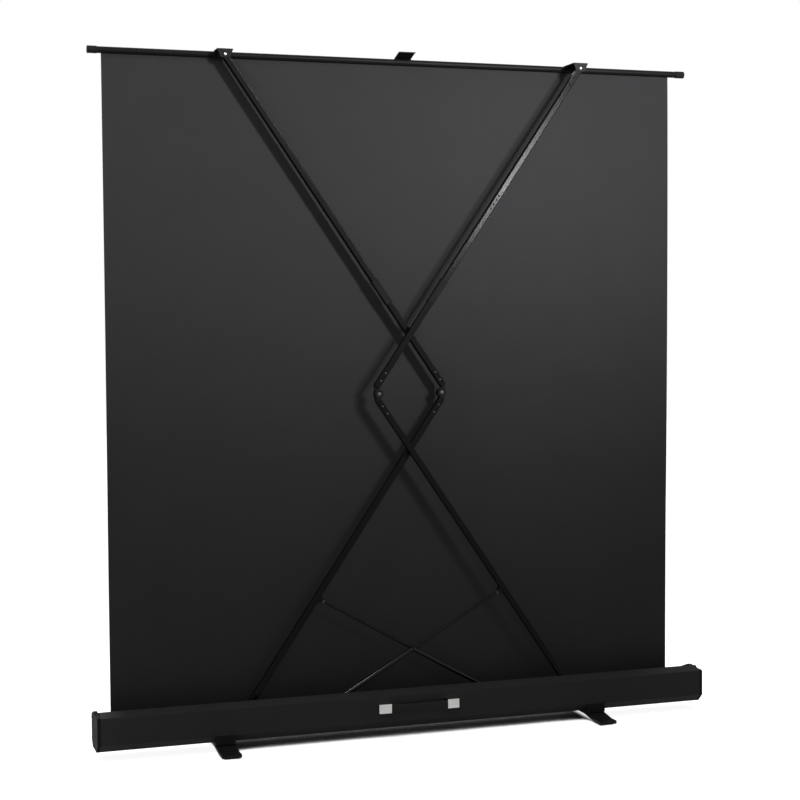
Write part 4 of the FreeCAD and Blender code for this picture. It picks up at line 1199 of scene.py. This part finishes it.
@dataclass
class Studio:
    """Pale floor, soft lights and the camera at the photograph's place."""

    camera_at: Point = (1.6122, 4.8301, 1.2742)
    yaw: float = 18.147
    pitch: float = -2.734
    roll: float = -0.4273
    lens: float = 74.26
    sensor: float = 36.0
    far: float = 100.0
    floor_half: float = 14.0
    ambient: float = 0.29
    floor_glow: float = 0.88
    floor_shine: float = 0.3
    floor_pale: float = 0.8
    floor_roughness: float = 0.9
    floor_specular: float = 0.1
    # Painted floor shadow under the casing: how far the occlusion reaches, its lean to the front, its step,
    # the X span it is kept to, its darkness and its samples.
    shade_reach: float = 0.1
    shade_lean: float = 3.2
    shade_step: Pair = (0.42, 0.66)
    shade_span: Pair = (0.57, 0.6)
    shade_depth: float = 0.05
    shade_samples: int = 8
    lamps: tuple[Union[Spot, SoftBox], ...] = (
        Spot("key_spot", (-2.26, 5.66, 3.76), (-0.92, -0.05, 2.05), 1290.0, (50.0, 11.5), 0.42),
        SoftBox("sheen_box", (-1.25, 2.35, 1.93), (-0.38, 0.0, 1.72), 4.7, (0.25, 0.5), 60.0),
        SoftBox("top_strip", (1.75, 0.75, 3.4), (0.2, 0.05, 0.4), 8.5, (0.9, 0.25), 100.0),
        SoftBox("front_box", (0.6, -2.9, 4.5), (0.0, 0.0, 1.1), 24.0, (2.4, 1.8), 70.0))

    def camera(self) -> Object:
        """Camera from the fitted angles.

        Returns:
            The camera, set as the scene's own.
        """
        yaw, pitch, roll = (radians(v) for v in (self.yaw, self.pitch, self.roll))
        ahead = Vector((-sin(yaw) * cos(pitch), -cos(yaw) * cos(pitch), sin(pitch)))
        right = ahead.cross(Vector((0, 0, 1))).normalized()
        up = right.cross(ahead)
        side = right * cos(roll) + up * sin(roll)
        top = up * cos(roll) - right * sin(roll)
        data = bpy.data.cameras.new("camera")
        data.lens = self.lens
        data.sensor_width = self.sensor
        data.clip_end = self.far
        made = placed("camera", data)
        turn = Matrix((side, top, -ahead)).transposed().to_4x4()
        made.matrix_world = Matrix.Translation(self.camera_at) @ turn
        bpy.context.scene.camera = made
        return made

    @staticmethod
    def rays(graph: Graph) -> tuple[Sock, Sock]:
        """Which rays come from the camera, straight or through glass, and which from a mirror."""
        straight, through, mirrored = graph.outputs("ShaderNodeLightPath", *RAY_KINDS)
        return straight.most(through), mirrored

    def floor(self) -> Object:
        """Floor that shows white, with a shadow painted into its colour and glow under the casing.

        Returns:
            The floor.
        """
        mesh = bpy.data.meshes.new("floor")
        h = self.floor_half
        mesh.from_pydata([(-h, -h, 0), (h, -h, 0), (h, h, 0), (-h, h, 0)], [], [(0, 1, 2, 3)])
        made = placed("floor", mesh)
        book = NodeBook("floor_white")
        direct, mirrored = self.rays(book)
        seen = (direct * self.floor_glow).most(mirrored * self.floor_shine)
        where = book.place()
        # Painted shadow: occlusion, leaned towards the front (-Y) and kept to the stretch between the feet,
        # darkens the floor under the casing.
        leaned = book.axis(where, "Y").most(-self.shade_reach).least(self.shade_reach) * self.shade_lean
        near = book.value("ShaderNodeAmbientOcclusion", {"Distance": self.shade_reach},
                          {"samples": self.shade_samples}, "AO") + leaned
        aside = book.ramp(book.axis(where, "X").size(), *self.shade_span)
        open_share = book.ramp(near, *self.shade_step).most(aside)
        # The floor's own pale colour and the dark colour of the painted shadow.
        pale, painted_shade = (rgba((level, level, level)) for level in (self.floor_pale, self.shade_depth))
        book.paint(Base_Color=book.blend(open_share, painted_shade, pale), Roughness=self.floor_roughness,
                   Specular_IOR_Level=self.floor_specular)
        # The glow is cut where the shadow is painted.
        light = book.blend(open_share, BLACK, WHITE)
        glow = book.value("ShaderNodeEmission", {"Color": light, "Strength": seen})
        book.feed(book.output, 0, book.value("ShaderNodeAddShader", {0: book.lit, 1: glow}))
        mesh.materials.append(book.material)
        return made

    def world(self) -> None:
        """White to the camera and in reflections, and a softer fill on the object."""
        world = bpy.data.worlds.new("studio")
        bpy.context.scene.world = world
        world.use_nodes = True
        graph = Graph(world.node_tree)
        direct, mirrored = self.rays(graph)
        feeds = {"Value": direct.most(mirrored), "To Min": self.ambient, "To Max": 1.0}
        level = graph.value("ShaderNodeMapRange", feeds)
        back = graph.value("ShaderNodeBackground", {"Color": WHITE, "Strength": level})
        graph.node("ShaderNodeOutputWorld", {0: back})

    def build(self) -> None:
        """Set up the floor, lights, world and camera."""
        self.floor()
        self.world()
        self.camera()
        for lamp in self.lamps:
            lamp.build()
        bpy.context.scene.view_settings.view_transform = "Standard"


def main() -> None:
    """Build the pieces in order, dress the CAD nodes and set up the studio."""
    logging.basicConfig(level=logging.INFO, format="%(message)s")
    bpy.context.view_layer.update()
    log.info("dressed %d CAD nodes", Dresser(frame["record"]).build())
    made = [ScreenCloth().build(), ClothRoll().build(), CarryHandle().build()]
    made += [heads.build() for heads in fastenings()]
    made += PivotHeads().build()
    made += GasStrut("rear", REAR_LAYER, -1.0).build()
    made += GasStrut("front", FRONT_LAYER, 1.0).build()
    for item in made:
        log.info("built %s: %d faces", item.name, len(item.data.polygons))
    Studio().build()


if __name__ == "__main__":
    main()
